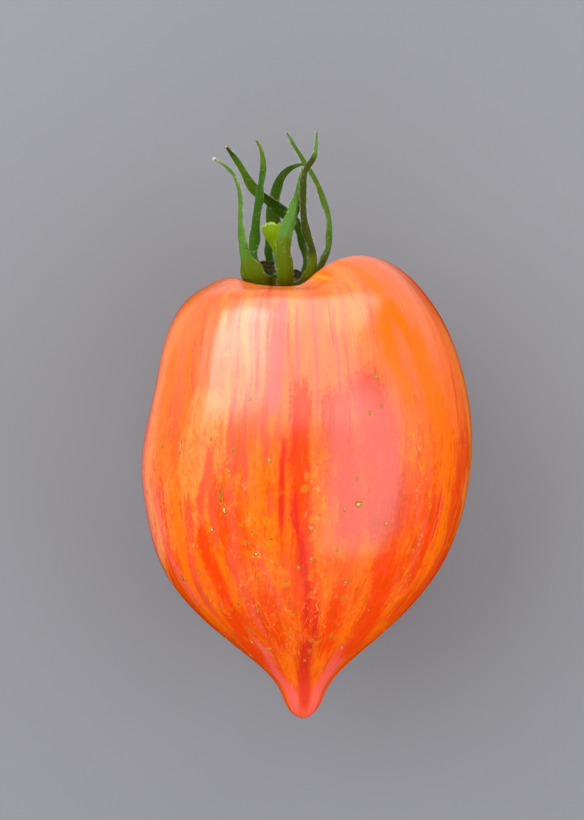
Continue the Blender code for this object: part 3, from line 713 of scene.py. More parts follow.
# %% The sepals' routes
SEAT = (-4.7, 85.5)  # right of the axis and above the tip
ROOT_RADIUS = 0.8
ROOT_HEIGHT = 0.6
SEPAL_SHARES = (0.0, 0.12, 0.24, 0.38, 0.6, 0.8, 0.93, 1.0)  # places along the blade
TURN_SHARES = (0.0, 0.25, 0.6, 1.0)
SEPALS = (  # direction, width and turn at each of those places, route of the midrib
    (142.0, (4.5, 5.9, 5.8, 3.4, 1.7, 1.1, 0.6, 0.3), (-30.0, -18.0, 21.0, 35.0), (
        (-3.7, 0.4, 4.4), (-5.8, 1.8, 5.9), (-7.2, 4.6, 6.2), (-8.2, 9.5, 5.6), (-8.3, 14.5, 4.8),
        (-8.6, 19.5, 4.2), (-9.8, 22.7, 3.8), (-11.6, 24.5, 3.4), (-13.6, 25.8, 3.2))),
    (193.0, (3.4, 4.6, 4.0, 3.2, 2.6, 2.0, 1.4, 0.3), (-10.0, -55.0, -55.0, -45.0), (
        (-4.3, 1.2, -1.0), (-6.2, 3.6, -1.7), (-6.4, 7.6, -2.0), (-5.9, 12.3, -1.8),
        (-5.4, 16.3, -1.4), (-4.6, 21.3, -1.3), (-4.2, 25.8, -1.7), (-4.6, 28.9, -2.2),
        (-5.4, 30.4, -2.6))),
    (311.0, (2.5, 3.6, 3.3, 3.1, 2.8, 2.1, 1.4, 0.5), (0.0, 0.0, 0.0, 0.0), (
        (2.9, 1.2, -3.3), (5.0, 3.8, -5.6), (5.5, 6.6, -6.2), (5.1, 9.2, -6.8), (4.3, 11.8, -6.6),
        (2.5, 14.7, -6.0), (0.2, 16.6, -5.4), (-2.7, 18.7, -4.6), (-5.4, 20.6, -3.6),
        (-8.5, 25.3, -2.4), (-11.3, 28.9, -1.2))),
    (258.0, (3.2, 4.6, 4.8, 4.6, 2.8, 1.8, 1.2, 0.3), (0.0, 0.0, 0.0, 0.0), (
        (-0.9, 1.2, -4.3), (-1.4, 4.0, -6.6), (-1.7, 9.4, -8.0), (-2.1, 13.9, -8.0),
        (-2.1, 17.9, -7.6), (-1.3, 21.7, -6.8), (0.4, 24.6, -5.4), (2.2, 25.6, -4.4),
        (4.2, 25.9, -3.2))),
    (90.0, (2.5, 3.5, 3.4, 3.2, 2.9, 2.0, 1.1, 0.2), (0.0, -11.0, -27.0, -45.0), (
        (0.4, 0.2, 4.6), (0.6, 1.3, 7.1), (0.5, 4.4, 8.7), (0.4, 8.9, 8.6), (1.5, 12.9, 7.4),
        (2.7, 16.7, 5.6), (3.4, 20.3, 4.2), (3.8, 24.0, 3.2))),
    (39.0, (1.8, 2.6, 2.3, 1.8, 1.5, 1.2, 0.8, 0.2), (0.0, 4.0, 9.0, 15.0), (
        (3.3, 0.9, 3.6), (5.3, 2.7, 5.4), (6.0, 5.5, 6.2), (5.6, 8.4, 6.5), (4.6, 11.7, 6.5),
        (4.1, 15.8, 6.5), (4.1, 19.5, 6.5), (4.6, 23.1, 6.2), (6.1, 25.6, 5.4), (6.6, 28.1, 4.6),
        (6.7, 30.9, 4.0))),
    (347.0, (2.8, 4.0, 3.6, 2.9, 2.3, 1.6, 1.0, 0.2), (0.0, 10.0, 24.0, 40.0), (
        (4.6, 1.8, -1.0), (7.0, 4.3, -1.6), (9.0, 8.5, -1.8), (9.3, 12.7, -1.4), (8.5, 17.2, -0.8),
        (7.2, 20.5, -0.2), (5.6, 23.6, 0.4), (3.0, 27.6, 0.8), (0.8, 31.3, 1.4))),
)
SEPAL_RIB = (1.2, 0.5)  # thickness at the midrib, at the root and at the tip
SEPAL_EDGE = 0.28  # thickness at the edges
SEPAL_CUP = 0.15  # how far the edges turn in, as a share of the width
SEPAL_KEEL = (0.16, 0.2, 0.6)  # height, width as a share of the half width, groove's share on the inside
SEPAL_FULLNESS = 0.7  # below 1 the section is fuller than a lens
WIDTH_WAVES = (0.05, 47.0)  # height as a share of the half width, and radians over the blade's length
EDGE_WAVES = (0.16, 31.0)
WAVE_STEP = 2.1  # radians between the waves of one sepal and the next
SEPAL_RINGS = 110
SEPAL_SIDES = 36
seat = np.array([SEAT[0], SEAT[1] - REST_STATION, axis_height])


def carry_side(tangents, side):
    """The side vector at each place is the one before, less its part along the path."""
    carried = []
    for tangent in tangents:
        side = unit(side - tangent * np.dot(side, tangent))
        carried.append(side)
    return np.array(carried)


def smoothed(values, span):
    """The mean of each value and its neighbours, with the first and last value carried on outside."""
    padded = np.pad(values, span // 2, "edge")
    return np.convolve(padded, np.ones(span) / span, "valid")


def blade_frame(direction, turns, route, share):
    """The path from the root to the tip, and its side and inner vectors, turned along it."""
    azimuth = np.radians(direction)
    root = np.array([np.cos(azimuth) * ROOT_RADIUS, ROOT_HEIGHT, np.sin(azimuth) * ROOT_RADIUS])
    points = np.concatenate([[root], np.array(route)])
    knots = chord_knots(points)
    path = natural_spline(knots, points, share * knots[-1])
    tangents = unit(np.gradient(path, axis=0))
    side = carry_side(tangents, np.array([-np.sin(azimuth), 0.0, np.cos(azimuth)]))
    inner = np.cross(side, tangents)
    inner *= np.sign(inner[0, 1])
    twist = np.radians(smoothed(np.interp(share, TURN_SHARES, turns), 15))[:, None]
    turned = side * np.cos(twist) + inner * np.sin(twist)
    return path, turned, inner * np.cos(twist) - side * np.sin(twist), knots[-1]


def sepal_surface(number, direction, widths, turns, route):
    """across = cos t and face = sin t go round the section; the point is path + across + thickness."""
    share = np.linspace(0.0, 1.0, SEPAL_RINGS)
    path, side, inner, length = blade_frame(direction, turns, route, share)
    width = smoothed(np.interp(share, SEPAL_SHARES, widths), 9)
    half = 0.5 * (width * (1.0 + WIDTH_WAVES[0] * np.sin(share * WIDTH_WAVES[1] + number)))[:, None]
    t = (np.arange(SEPAL_SIDES) + 0.5) * 2.0 * np.pi / SEPAL_SIDES
    across = np.cos(t)[None, :]
    face = (np.sign(np.sin(t)) * np.abs(np.sin(t)) ** SEPAL_FULLNESS)[None, :]
    rib = (SEPAL_RIB[0] + (SEPAL_RIB[1] - SEPAL_RIB[0]) * share)[:, None]
    thick = 0.5 * (SEPAL_EDGE + (rib - SEPAL_EDGE) * (1.0 - across ** 2))
    keel_height, keel_width, groove = SEPAL_KEEL
    keel = keel_height * np.exp(-(across / keel_width) ** 2) * np.minimum(half, 1.0)
    thick = np.minimum(thick, half) + np.where(face < 0.0, keel, -groove * keel)
    waves = np.sin(share * EDGE_WAVES[1] + WAVE_STEP * number)[:, None]
    rise = 2.0 * SEPAL_CUP * half * across ** 2 + EDGE_WAVES[0] * half * across ** 3 * waves + face * thick
    grid = path[:, None] + (half * across)[:, :, None] * side[:, None] + rise[:, :, None] * inner[:, None]
    return grid + seat, share, np.abs(across[0]), length


# %% [markdown]
# ## The sepals' colours
#
# No two sepals have the same green. Some are olive at the foot, some have a bluish bloom, one has dried
# to brown, and the tips are pale. The deep tint on the lower parts of the three back sepals is painted
# shade. Each sepal therefore has its own short list of tints, with the share
# of its length where each one starts and ends. The shader mixes the tints over a dark green, and lets
# a fine lengthwise noise break them up like veins.

# %% The sepal material
TINTS = {
    # deep is painted shade: the darker green of the back sepals' lower parts.
    "deep": paint(48, 84, 2),
    "olive": paint(80, 98, 0),
    "bloom": paint(78, 116, 40),
    "brown": paint(50, 54, 0),
    "pale": paint(146, 154, 96),
}
SEPAL_TINTS = (
    (("olive", 0.0, 0.34, 1.0), ("bloom", 0.36, 0.9, 0.55), ("pale", 0.93, 1.0, 0.5)),
    # Sepals 2, 3 and 4 stand at the back; their deep tint is painted shade.
    (("deep", 0.1, 0.8, 0.8), ("olive", 0.9, 1.0, 0.6)),
    (("deep", 0.25, 0.62, 0.6), ("brown", 0.97, 1.0, 1.0)),
    (("deep", 0.0, 0.5, 0.7), ("olive", 0.66, 0.9, 0.2), ("bloom", 0.6, 1.0, 0.4)),
    (("olive", 0.0, 0.5, 1.0), ("bloom", 0.52, 0.9, 1.0), ("pale", 0.94, 1.0, 0.3)),
    (("olive", 0.0, 0.4, 0.8), ("brown", 0.34, 0.84, 0.9), ("bloom", 0.88, 0.95, 0.8)),
    (("bloom", 0.1, 0.6, 0.5), ("olive", 0.4, 0.7, 0.5), ("pale", 0.97, 1.0, 0.4)),
)
LEAF_GREEN = paint(74, 108, 10)
LEAF_DEEP = paint(52, 80, 6)
sepal_material = new_material("sepal_leaf", 0.6, Specular_IOR_Level=0.04)
blade_place = read_map("blade", "Vector")
veins = noise(stretched(blade_place, (3.2, 0.25, 1.0)), 1.0, 3.0, 0.6)
blotches = noise(stretched(blade_place, (0.5, 0.3, 1.0)), 1.0, 3.0)
colour = mix(soft(veins, 0.35, 0.65), LEAF_DEEP, LEAF_GREEN)
wander = about_half(blotches, 1.2)
for name, tint in TINTS.items():
    strength = read_map(name)
    wandered = soft(maths("ADD", strength, wander), 0.1, 0.9)
    colour = mix(times(wandered, soft(strength, 0.02, 0.25)), colour, tint)
edge_here = read_map("edge")
colour = mix(soft(edge_here, 0.16, 0.02, 0.0, 0.3), colour, TINTS["bloom"])
margin = times(soft(edge_here, 0.93, 1.0), soft(blotches, 0.5, 0.7))
colour = mix(margin, colour, TINTS["pale"])
finish(colour, veins, 0.5, 0.0002)

# %% Make the sepals
TINT_OUTSIDE = 0.08  # how far a tint's soft ends reach out of its stretch, and into it
TINT_INSIDE = 0.02
PATTERN_STEP = 20.0  # millimetres between the places in the noise that two sepals read
FACE_HAIRS = 0.15  # hairs on the midrib as a share of those on the edge
hair_beds = []
for number, (row, tints) in enumerate(zip(SEPALS, SEPAL_TINTS), start=1):
    grid, share, edge, length = sepal_surface(number, *row)
    start, end = grid[0].mean(axis=0), grid[-1].mean(axis=0)
    sepal = closed_surface("sepal_%d" % number, grid, start, end, sepal_material)
    middle_width = row[1][3]
    parts = np.broadcast_arrays(edge * middle_width, (share * length)[:, None], PATTERN_STEP * number)
    blade = np.stack(parts, axis=-1).reshape(-1, 3)
    keep_value(sepal, "blade", np.concatenate([blade, blade[[0, -1]]]))
    keep_value(sepal, "edge", np.concatenate([np.tile(edge, SEPAL_RINGS), [0.0, 1.0]]))
    for name in TINTS:
        value = np.zeros(SEPAL_RINGS)
        for tint, first, last, strength in tints:
            if tint == name:
                window = smooth_step(first - TINT_OUTSIDE, first + TINT_INSIDE, share)
                window *= 1.0 - smooth_step(last - TINT_INSIDE, last + TINT_OUTSIDE, share)
                value += strength * window
        keep_rings(sepal, name, value, SEPAL_SIDES, value[[0, -1]])
    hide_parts("calyx")
    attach(sepal, "root")
    hair_beds.append((grid, edge ** 2 + FACE_HAIRS))

# %% [markdown]
# ## Dried tips
#
# The tips of two sepals have dried. One ends in a round pale blob, and the other in a small white
# point. Each is an uneven ball: its rings grow and shrink as a sine from pole to pole, and a wave
# round the ball makes it less regular.

# %% Blobs at two tips
BLOBS = ((0, 0.34, 0.0), (2, 0.2, 0.4))  # which sepal, radius, and how far on from its tip
BLOB_RINGS = 16
BLOB_SIDES = 24
blob_material = new_material("dried_tip", 0.45)
curd = soft(grain(4.0, 3.0), 0.35, 0.6)
finish(mix(curd, paint(136, 136, 100), paint(206, 208, 184)))


def uneven_ball(centre, radius):
    """point = centre + radius x wave x (sin a cos t, sin a sin t, cos a)."""
    a = np.linspace(0.0, np.pi, BLOB_RINGS + 2)[1:-1, None]
    t = (np.arange(BLOB_SIDES) * 2.0 * np.pi / BLOB_SIDES)[None, :]
    wave = radius * (1.0 + 0.12 * np.sin(3.0 * t + 2.0 * a) + 0.08 * np.cos(5.0 * a + t))
    parts = [wave * np.sin(a) * np.cos(t), wave * np.sin(a) * np.sin(t), wave * np.cos(a) + 0.0 * t]
    return np.stack(parts, axis=-1) + centre


for which, radius, onward in BLOBS:
    blade = hair_beds[which][0]
    tip, before = blade[-1].mean(axis=0), blade[-6].mean(axis=0)
    centre = tip + onward * radius * unit(tip - before)
    ball = uneven_ball(centre, radius)
    ends = centre + radius * np.array([[0.0, 0.0, 1.0], [0.0, 0.0, -1.0]])
    blob = closed_surface("dried_tip_%d" % (which + 1), ball, *ends, blob_material)
    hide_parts("calyx")
    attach(blob, "root")

# %% [markdown]
# ## The cup
#
# At their feet the sepals are fused into a shallow cup. Its outer face is a short curve, turned round
# the stalk. Its wall is cut low in front, where the sepals part, and stands high behind, so the outline
# is followed only up to a share that changes round the cup. The inner face is the outer one moved
# inwards by the wall's thickness. Inside, the cup is brown and downy.
# The dark green mixed into the brown down inside is painted shade.

# %% The cup's surface
CUP = ((0.0, -0.6), (2.4, -0.5), (4.3, 0.2), (5.9, 1.7), (6.8, 3.8), (7.1, 6.0), (7.1, 7.2))
CUP_WALL = 0.7
CUP_MIDDLE = 2.6  # thickness in the middle, under the stalk
CUP_MIDDLE_REACH = 0.4  # shares of the outline from here on
CUP_RIM_FRONT = 0.44
CUP_RIM_BACK = 0.95
CUP_RIM_WAVES = ((9.0, 0.02, 0.0), (17.0, 0.015, 1.0))  # waves round the rim, height, phase
CUP_BACK = 225.0  # direction of the rim's highest place, in degrees
CUP_RINGS = 34
CUP_SIDES = 120


def cup_surface():
    """Outer face (radius, height) turned round Y up to the rim, then the inner face back down."""
    rows = np.array(CUP)
    knots = chord_knots(rows)
    turn = np.arange(CUP_SIDES) * 2.0 * np.pi / CUP_SIDES
    back = 0.5 + 0.5 * np.cos(turn - np.radians(CUP_BACK))
    rim = CUP_RIM_FRONT + (CUP_RIM_BACK - CUP_RIM_FRONT) * back
    rim *= 1.0 + sum(height * np.sin(waves * turn + phase) for waves, height, phase in CUP_RIM_WAVES)
    share = np.linspace(0.0, 1.0, CUP_RINGS + 1)[1:, None] * rim
    outer = natural_spline(knots, rows, share.ravel() * knots[-1]).reshape(*share.shape, 2)
    slope = unit(np.gradient(outer, axis=0))
    inwards = np.stack([-slope[:, :, 1], slope[:, :, 0]], axis=2)
    middle = np.clip(1.0 - (share / CUP_MIDDLE_REACH) ** 2, 0.0, 1.0)
    thin_rim = 1.0 - 0.6 * np.linspace(0.0, 1.0, CUP_RINGS)[:, None] ** 4
    wall = (CUP_WALL + (CUP_MIDDLE - CUP_WALL) * middle) * thin_rim
    inner = outer + wall[:, :, None] * inwards
    rings = np.concatenate([outer, inner[::-1]])
    grid = np.stack([rings[:, :, 0] * np.cos(turn), rings[:, :, 1], rings[:, :, 0] * np.sin(turn)], axis=-1)
    poles = np.array([(0.0, rows[0, 1], 0.0), (0.0, rows[0, 1] + CUP_MIDDLE, 0.0)])
    return grid + seat, poles + seat


DOWN_BROWN = paint(92, 84, 50)
# The dark green patches inside the cup are painted shade.
DOWN_GREEN_AND_SHADE = paint(34, 46, 8)
CUP_OLIVE = paint(88, 98, 4)
cup_material = new_material("calyx_cup", 0.7, Specular_IOR_Level=0.04)
felt = grain(1.6, 5.0, 0.7)
down = mix(soft(felt, 0.4, 0.62), DOWN_GREEN_AND_SHADE, DOWN_BROWN)
outside = mix(soft(felt, 0.3, 0.7), LEAF_GREEN, CUP_OLIVE)
finish(mix(read_map("inside"), outside, down), felt, 0.8, 0.0003)

cup_grid, cup_poles = cup_surface()
cup = closed_surface("calyx_cup", cup_grid, *cup_poles, cup_material)
inside = (np.arange(2 * CUP_RINGS) >= CUP_RINGS).astype(float)
keep_rings(cup, "inside", inside, CUP_SIDES, [0.0, 1.0])
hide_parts("calyx")
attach(cup, "root")

# %% [markdown]
# ## The stalk
#
# The stub of the stalk is a bent, waisted stem that flares where it broke off the truss. Its outline is
# given as distance along the stem and radius. It turns in at the torn rim, and ends in the hollow of
# the broken face. Rings of that outline are carried along the stem's bent line, and the rim is made
# ragged by waves of several lengths that fade in towards it.

# %% The stalk's surface
STALK_OUTLINE = (
    (0.0, 0.0), (0.0, 1.5), (0.5, 1.7), (1.8, 1.3), (3.8, 1.05), (5.9, 1.0), (7.2, 1.35), (8.2, 1.85),
    (9.1, 2.2), (9.6, 2.3), (10.7, 2.45), (10.9, 2.35), (10.5, 2.05), (10.0, 1.2), (9.9, 0.0),
)
STALK_ROUTE = ((0.1, 2.55, 0.0), (-0.5, 5.8, 0.1), (-1.3, 9.0, 0.2), (-2.0, 13.2, 0.3))
STALK_RINGS = 130
STALK_SIDES = 96
STALK_RIBS = ((5.0, 0.035, 0.5), (13.0, 0.015, 0.0))  # waves round the stem, height, phase
RIM_START = 9.6  # millimetres along the stem
RIM_TEETH = (
    (2.0, 0.3, 2.6), (3.0, 0.18, 0.0), (7.0, 0.16, 0.4), (11.0, 0.13, 2.0), (17.0, 0.12, 1.1),
    (29.0, 0.07, 0.2),
)


def waves_round(level, turn, waves):
    """The level and the sum of height x cos(number x turn + phase)."""
    return sum((height * np.cos(number * turn + phase) for number, height, phase in waves), level)


def stalk_surface():
    """point = path(along) + radius (side cos t + other sin t) + ragged lift along the stem."""
    rows = np.array(STALK_OUTLINE)
    route = np.array(STALK_ROUTE)
    route_knots = chord_knots(route)
    knots = chord_knots(rows)
    at = np.linspace(0.0, knots[-1], STALK_RINGS + 2)[1:-1]
    outline = np.stack([smoothed(np.interp(at, knots, rows[:, part]), 3) for part in (0, 1)], axis=1)
    path = natural_spline(route_knots, route, outline[:, 0])
    ends = natural_spline(route_knots, route, np.array([0.0, rows[-1, 0]]))
    lean = unit(natural_spline(route_knots, route, outline[:, 0] + 0.1) - path)
    side = unit(np.cross(lean, [0.0, 0.0, 1.0]))
    other = np.cross(side, lean)
    t = np.arange(STALK_SIDES) * 2.0 * np.pi / STALK_SIDES
    fade = np.clip((outline[:, 0] - RIM_START) / (rows[:, 0].max() - RIM_START), 0.0, 1.0)
    fade = fade * np.clip(outline[:, 1] / rows[:, 1].max(), 0.0, 1.0) ** 2
    radius = outline[:, [1]] * waves_round(1.0, t, STALK_RIBS)
    radial = np.cos(t)[None, :, None] * side[:, None] + np.sin(t)[None, :, None] * other[:, None]
    grid = path[:, None] + radius[:, :, None] * radial
    grid += (fade[:, None] * waves_round(0.0, t, RIM_TEETH))[:, :, None] * lean[:, None]
    return grid + seat, ends + seat, at / knots[-1]


STALK_GREEN = paint(76, 112, 2)
STALK_DEEP = paint(54, 84, 4)
RIM_LIME = paint(136, 174, 0)
RIM_WHITE = paint(196, 208, 140)
PITH_GREEN = paint(66, 92, 12)
GLOW_DEPTH = (0.0006, 0.001, 0.0003)  # metres that red, green and blue light travels inside
stalk_material = new_material(
    "stalk_stub", 0.5, Specular_IOR_Level=0.1, Subsurface_Weight=0.15, Subsurface_Radius=GLOW_DEPTH,
)
stem_place = read_map("blade", "Vector")
fibres = noise(stretched(stem_place, (2.2, 2.2, 0.5)), 1.0, 3.0, 0.6)
height_here = read_map("along")
colour = mix(soft(fibres, 0.3, 0.7), STALK_DEEP, STALK_GREEN)
colour = mix(soft(height_here, 0.36, 0.58, 0.0, 0.9), colour, RIM_LIME)
torn = maths("ADD", read_map("rim"), about_half(fibres, 1.0))
colour = mix(soft(torn, 0.75, 1.1), colour, RIM_WHITE)
pith = mix(soft(fibres, 0.45, 0.6), RIM_LIME, PITH_GREEN)
colour = mix(soft(height_here, 0.8, 0.86), colour, pith)
finish(colour, fibres, 0.5, 0.0003)

RIM_SHARE, RIM_SPREAD = 0.8, 0.02  # the torn rim's place along the outline, and its width
stalk_grid, stalk_ends, stalk_share = stalk_surface()
stalk = closed_surface("stalk_stub", stalk_grid, *stalk_ends, stalk_material)
keep_rings(stalk, "along", stalk_share, STALK_SIDES, [0.0, 1.0])
stem_vector = (stalk_grid - seat).reshape(-1, 3)[:, [0, 2, 1]]
keep_value(stalk, "blade", np.concatenate([stem_vector, np.zeros((2, 3))]))
rim_here = np.exp(-((stalk_share - RIM_SHARE) / RIM_SPREAD) ** 2)
keep_rings(stalk, "rim", rim_here, STALK_SIDES, [0.0, 0.0])
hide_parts("stalk")
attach(stalk, "root")

# %% [markdown]
# ## Hairs
#
# Tomato leaves and stems are covered in fine, pale, sticky hairs. They are too thin to see one by one,
# but they make the edges glow. Each hair is a needle with three sides, only a few faces, because there
# are thousands. Its root is a random point of a surface, and it leans away from the surface's normal
# by a random amount. Curves for hair would look as good here, but only meshes last in a model file.

# %% Needles from arrays
HAIR_WIDTH = 0.03
HAIR_SINK = 0.03  # how deep a hair's foot stands in the surface
hair_material = new_material("pale_hair", 0.4)
tone = soft(grain(0.8, 2.0), 0.35, 0.65)
finish(mix(tone, paint(168, 178, 120), paint(232, 234, 214)))


def hair_roots(grid, weight, count):
    """Random points of a grid, drawn by weight, with the surface's normals there."""
    normals = grid_normals(grid)
    centres = grid.mean(axis=1, keepdims=True)
    normals *= np.sign(((grid - centres) * normals).sum(axis=2))[:, :, None]
    weight = np.broadcast_to(weight, grid.shape[:2]).ravel()
    picks = chance.choice(len(weight), count, p=weight / weight.sum())
    return grid.reshape(-1, 3)[picks], normals.reshape(-1, 3)[picks]


def hairs(name, roots, directions, lengths):
    """Each needle is three points round its root and one at its tip, root + direction x length."""
    directions = unit(directions)
    helper = np.where(np.abs(directions[:, [2]]) < 0.9, [[0.0, 0.0, 1.0]], [[1.0, 0.0, 0.0]])
    first = unit(np.cross(directions, helper))
    second = np.cross(directions, first)
    turns = np.arange(3) * 2.0 * np.pi / 3.0
    ring = np.cos(turns)[None, :, None] * first[:, None] + np.sin(turns)[None, :, None] * second[:, None]
    feet = roots[:, None] + 0.5 * HAIR_WIDTH * ring - HAIR_SINK * directions[:, None]
    tips = (roots + directions * lengths[:, None])[:, None]
    points = np.concatenate([feet, tips], axis=1).reshape(-1, 3)
    base = 4 * np.arange(len(roots))[:, None, None]
    faces = (base + np.array([[0, 1, 3], [1, 2, 3], [2, 0, 3], [0, 2, 1]])).reshape(-1, 3)
    thing = new_piece(name, points, faces.tolist(), hair_material, smooth=False)
    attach(thing, "root")
    print(name, "has", len(roots), "hairs")


# %% Hairs on the sepals, in the cup and on the stalk
SEPAL_HAIRS, CUP_HAIRS, STALK_HAIRS = 650, 2200, 900
OUTER_CUP_HAIRS = 0.05  # hairs on the cup's outer face as a share of those inside
HAIRY_STALK_RINGS = 60
UPWARDS = np.array([0.0, 0.3, 0.0])
cup_weight = np.repeat([OUTER_CUP_HAIRS, 1.0 + OUTER_CUP_HAIRS], CUP_RINGS)[:, None]
beds = [hair_roots(grid, weight, SEPAL_HAIRS) for grid, weight in hair_beds]
beds.append(hair_roots(cup_grid, cup_weight, CUP_HAIRS))
roots, normals = (np.concatenate(part) for part in zip(*beds))
lean = normals + chance.normal(0.0, 0.45, normals.shape) + UPWARDS
hairs("calyx_hairs", roots, lean, chance.uniform(0.25, 0.8, len(roots)))
roots, normals = hair_roots(stalk_grid[:HAIRY_STALK_RINGS], np.ones(1), STALK_HAIRS)
lean = normals + chance.normal(0.0, 0.35, normals.shape)
hairs("stalk_hairs", roots, lean, chance.uniform(0.2, 0.6, len(roots)))

# %% [markdown]
# ## Corky specks
#
# A field-grown tomato carries small corky scars. Each one is a low blister, whitish in the middle and
# brown at its edge, a millimetre or two long at most. The larger ones are listed one by one where they
# show, and the rest are scattered by chance. All are one mesh: a small disc of rings is laid on the skin
# at each place, turned to the skin's normal, and its rings are lifted as a dome, 1 - r^2 high.

# %% Domes laid on the skin
SPECKS = (  # right of the axis, above the tip, half width, half length, paleness of the middle
    (-23.8, 54.6, 0.28, 1.5, 0.8), (-27.3, 54.8, 0.4, 0.5, 0.1), (-17.9, 56.4, 0.3, 0.4, 0.6),
    (-7.1, 52.8, 0.35, 0.6, 0.7), (-14.5, 50.4, 0.3, 0.4, 0.6), (-15.5, 43.2, 0.4, 1, 0.9),
    (-15.9, 45.9, 0.26, 1.5, 0.1), (-17.7, 39.4, 0.5, 0.45, 1), (-9.5, 35.6, 0.5, 0.4, 1),
    (-23.9, 29.6, 0.5, 0.8, 0.1), (9.1, 44.4, 0.66, 0.6, 1), (6.7, 43.8, 0.25, 0.6, 0.8),
    (14.1, 41, 0.5, 0.3, 1), (12.5, 40.8, 0.3, 0.25, 0.9), (5.3, 36.4, 0.3, 0.4, 0.7),
    (0.3, 40.2, 0.3, 0.6, 0.8), (0.5, 34.6, 0.35, 0.4, 0.8), (-1.5, 33, 0.4, 0.4, 0.8),
    (12.7, 67.6, 0.4, 0.5, 0.5), (10.9, 61, 0.3, 0.4, 0.5), (13.3, 62.4, 0.35, 0.3, 0.5),
    (-11.3, 37.4, 0.25, 0.3, 0.3), (-5.7, 33.4, 0.25, 0.3, 0.3), (-9.1, 30.8, 0.3, 0.3, 0.2),
    (-3.7, 30.4, 0.3, 0.3, 0.2), (-12.9, 25.2, 0.3, 0.4, 0.2), (-2.9, 24, 0.3, 0.3, 0.2),
    (-3.5, 18.6, 0.3, 0.3, 0.3),
)
SPECK_SIZE = 1.15
SPECKS_ROUND = 70
ROUND_SIZES = (0.12, 0.34)
ROUND_PLACES = (10.0, 78.0)  # millimetres along the outline
ROUND_STRETCH = (0.8, 2.0)  # length as a share of the width
DOME_RINGS = 7
DOME_SIDES = 16
DOME_HEIGHT = 0.09
DOME_SINK = 0.01  # how deep the edge of a dome lies in the skin
DOME_FOOT = 0.15  # depth of the point that closes it below
DOME_WAVES = ((3.0, 0.14), (5.0, 0.1))  # waves round a dome's edge, and their height
SKIN_CURVE = 30.0  # radius of the skin, which bends away under a dome
CORK_WHITE = paint(214, 160, 106)
CORK_BROWN = paint(120, 66, 14)
CORK_OLIVE = paint(140, 110, 10)

speck_material = new_material("corky_speck", 0.6, Specular_IOR_Level=0.15)
middle = maths("ADD", read_map("radius"), about_half(grain(3.0, 3.0), 0.8))
cork = mix(read_map("paleness"), CORK_OLIVE, CORK_WHITE)
colour = mix(soft(middle, 0.35, 0.6), cork, CORK_BROWN)
finish(mix(soft(middle, 0.65, 0.95), colour, OCHRE))


def speck_rows():
    """Place along, angle, half width, half length and paleness of each speck, from the list and by chance.
    """
    rows = [(*skin_place(right, height), *sizes) for right, height, *sizes in SPECKS]
    for _ in range(SPECKS_ROUND):
        turn = chance.uniform(0.0, 360.0)
        size = chance.uniform(*ROUND_SIZES)
        place_along = chance.uniform(*ROUND_PLACES)
        rows.append((place_along, turn, size, size * chance.uniform(*ROUND_STRETCH), chance.random()))
    return np.array(rows) * (1.0, 1.0, SPECK_SIZE, SPECK_SIZE, 1.0)


rows = speck_rows()
rings = np.clip(np.searchsorted(along, rows[:, 0]), 2, SKIN_RINGS - 2)
sides = np.round(rows[:, 1] / 360.0 * SKIN_SIDES).astype(int) % SKIN_SIDES
centre = skin[rings, sides]
normal = outward[rings, sides]
lengthwise = unit(skin[rings + 1, sides] - skin[rings - 1, sides])
crosswise = np.cross(lengthwise, normal)
t = np.arange(DOME_SIDES) * 2.0 * np.pi / DOME_SIDES
r = np.linspace(1.0, 0.0, DOME_RINGS + 1)[:-1]
uneven = np.ones((len(rows), DOME_SIDES))
for waves, height in DOME_WAVES:
    uneven += height * np.cos(waves * t + chance.uniform(0.0, 6.3, (len(rows), 1)))
flat = r[None, :, None] * uneven[:, None, :]
across = (flat * np.cos(t) * rows[:, 2, None, None])[..., None] * crosswise[:, None, None]
onward = (flat * np.sin(t) * rows[:, 3, None, None])[..., None] * lengthwise[:, None, None]
sag = 0.5 * (flat * rows[:, 2, None, None]) ** 2 / SKIN_CURVE
lift = DOME_HEIGHT * (1.0 - r ** 2)[None, :, None] - sag - DOME_SINK
domes = centre[:, None, None] + across + onward + lift[..., None] * normal[:, None, None]

# %% Join the domes to one mesh
feet = centre - DOME_FOOT * normal
tops = centre + (DOME_HEIGHT - DOME_SINK) * normal
points = np.concatenate([domes.reshape(len(rows), -1, 3), feet[:, None], tops[:, None]], axis=1)
quads, fans, _ = facing_out(points[0] - centre[0], *ring_faces(DOME_RINGS, DOME_SIDES))
shift = points.shape[1] * np.arange(len(rows))[:, None, None]
faces = (quads + shift).reshape(-1, 4).tolist() + (fans + shift).reshape(-1, 3).tolist()
specks = new_piece("skin_specks", points.reshape(-1, 3), faces, speck_material)
one_radius = np.concatenate([np.repeat(r, DOME_SIDES), [1.0, 0.0]])
keep_value(specks, "radius", np.tile(one_radius, len(rows)))
keep_value(specks, "paleness", np.repeat(rows[:, 4], points.shape[1]))
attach(specks, "root")
print("skin_specks has", len(rows), "specks")

# %% [markdown]
# ## Floor, light and camera
#
# The fruit lies on a plain pale floor under soft studio light. A glossy skin shows two things at once:
# its own colour, lit from all round, and the mirror image of each window. Here the two are set apart.
# The panels called sky light only the matt colour. The windows are seen only in the gloss, and hang
# where the broad highlights need them. A floor mirrored in the gloss would lay a grey veil over the
# skin, so it is hidden from reflections, and two faint cards at its level, left of the fruit and behind
# it, stand in for it. The camera looks straight down on the fruit's axis.

# %% Stage
FLOOR_SIZE = 2.4
ROOM_TINT = (0.9, 0.95, 1.0, 1.0)
ROOM_STRENGTH = 0.24
floor_material = new_material("pale_floor", 0.85, Base_Color=paint(116, 117, 122))
bpy.ops.mesh.primitive_plane_add(size=FLOOR_SIZE)
floor = bpy.context.object
floor.name = "floor"
floor.data.materials.append(floor_material)
floor.visible_glossy = False

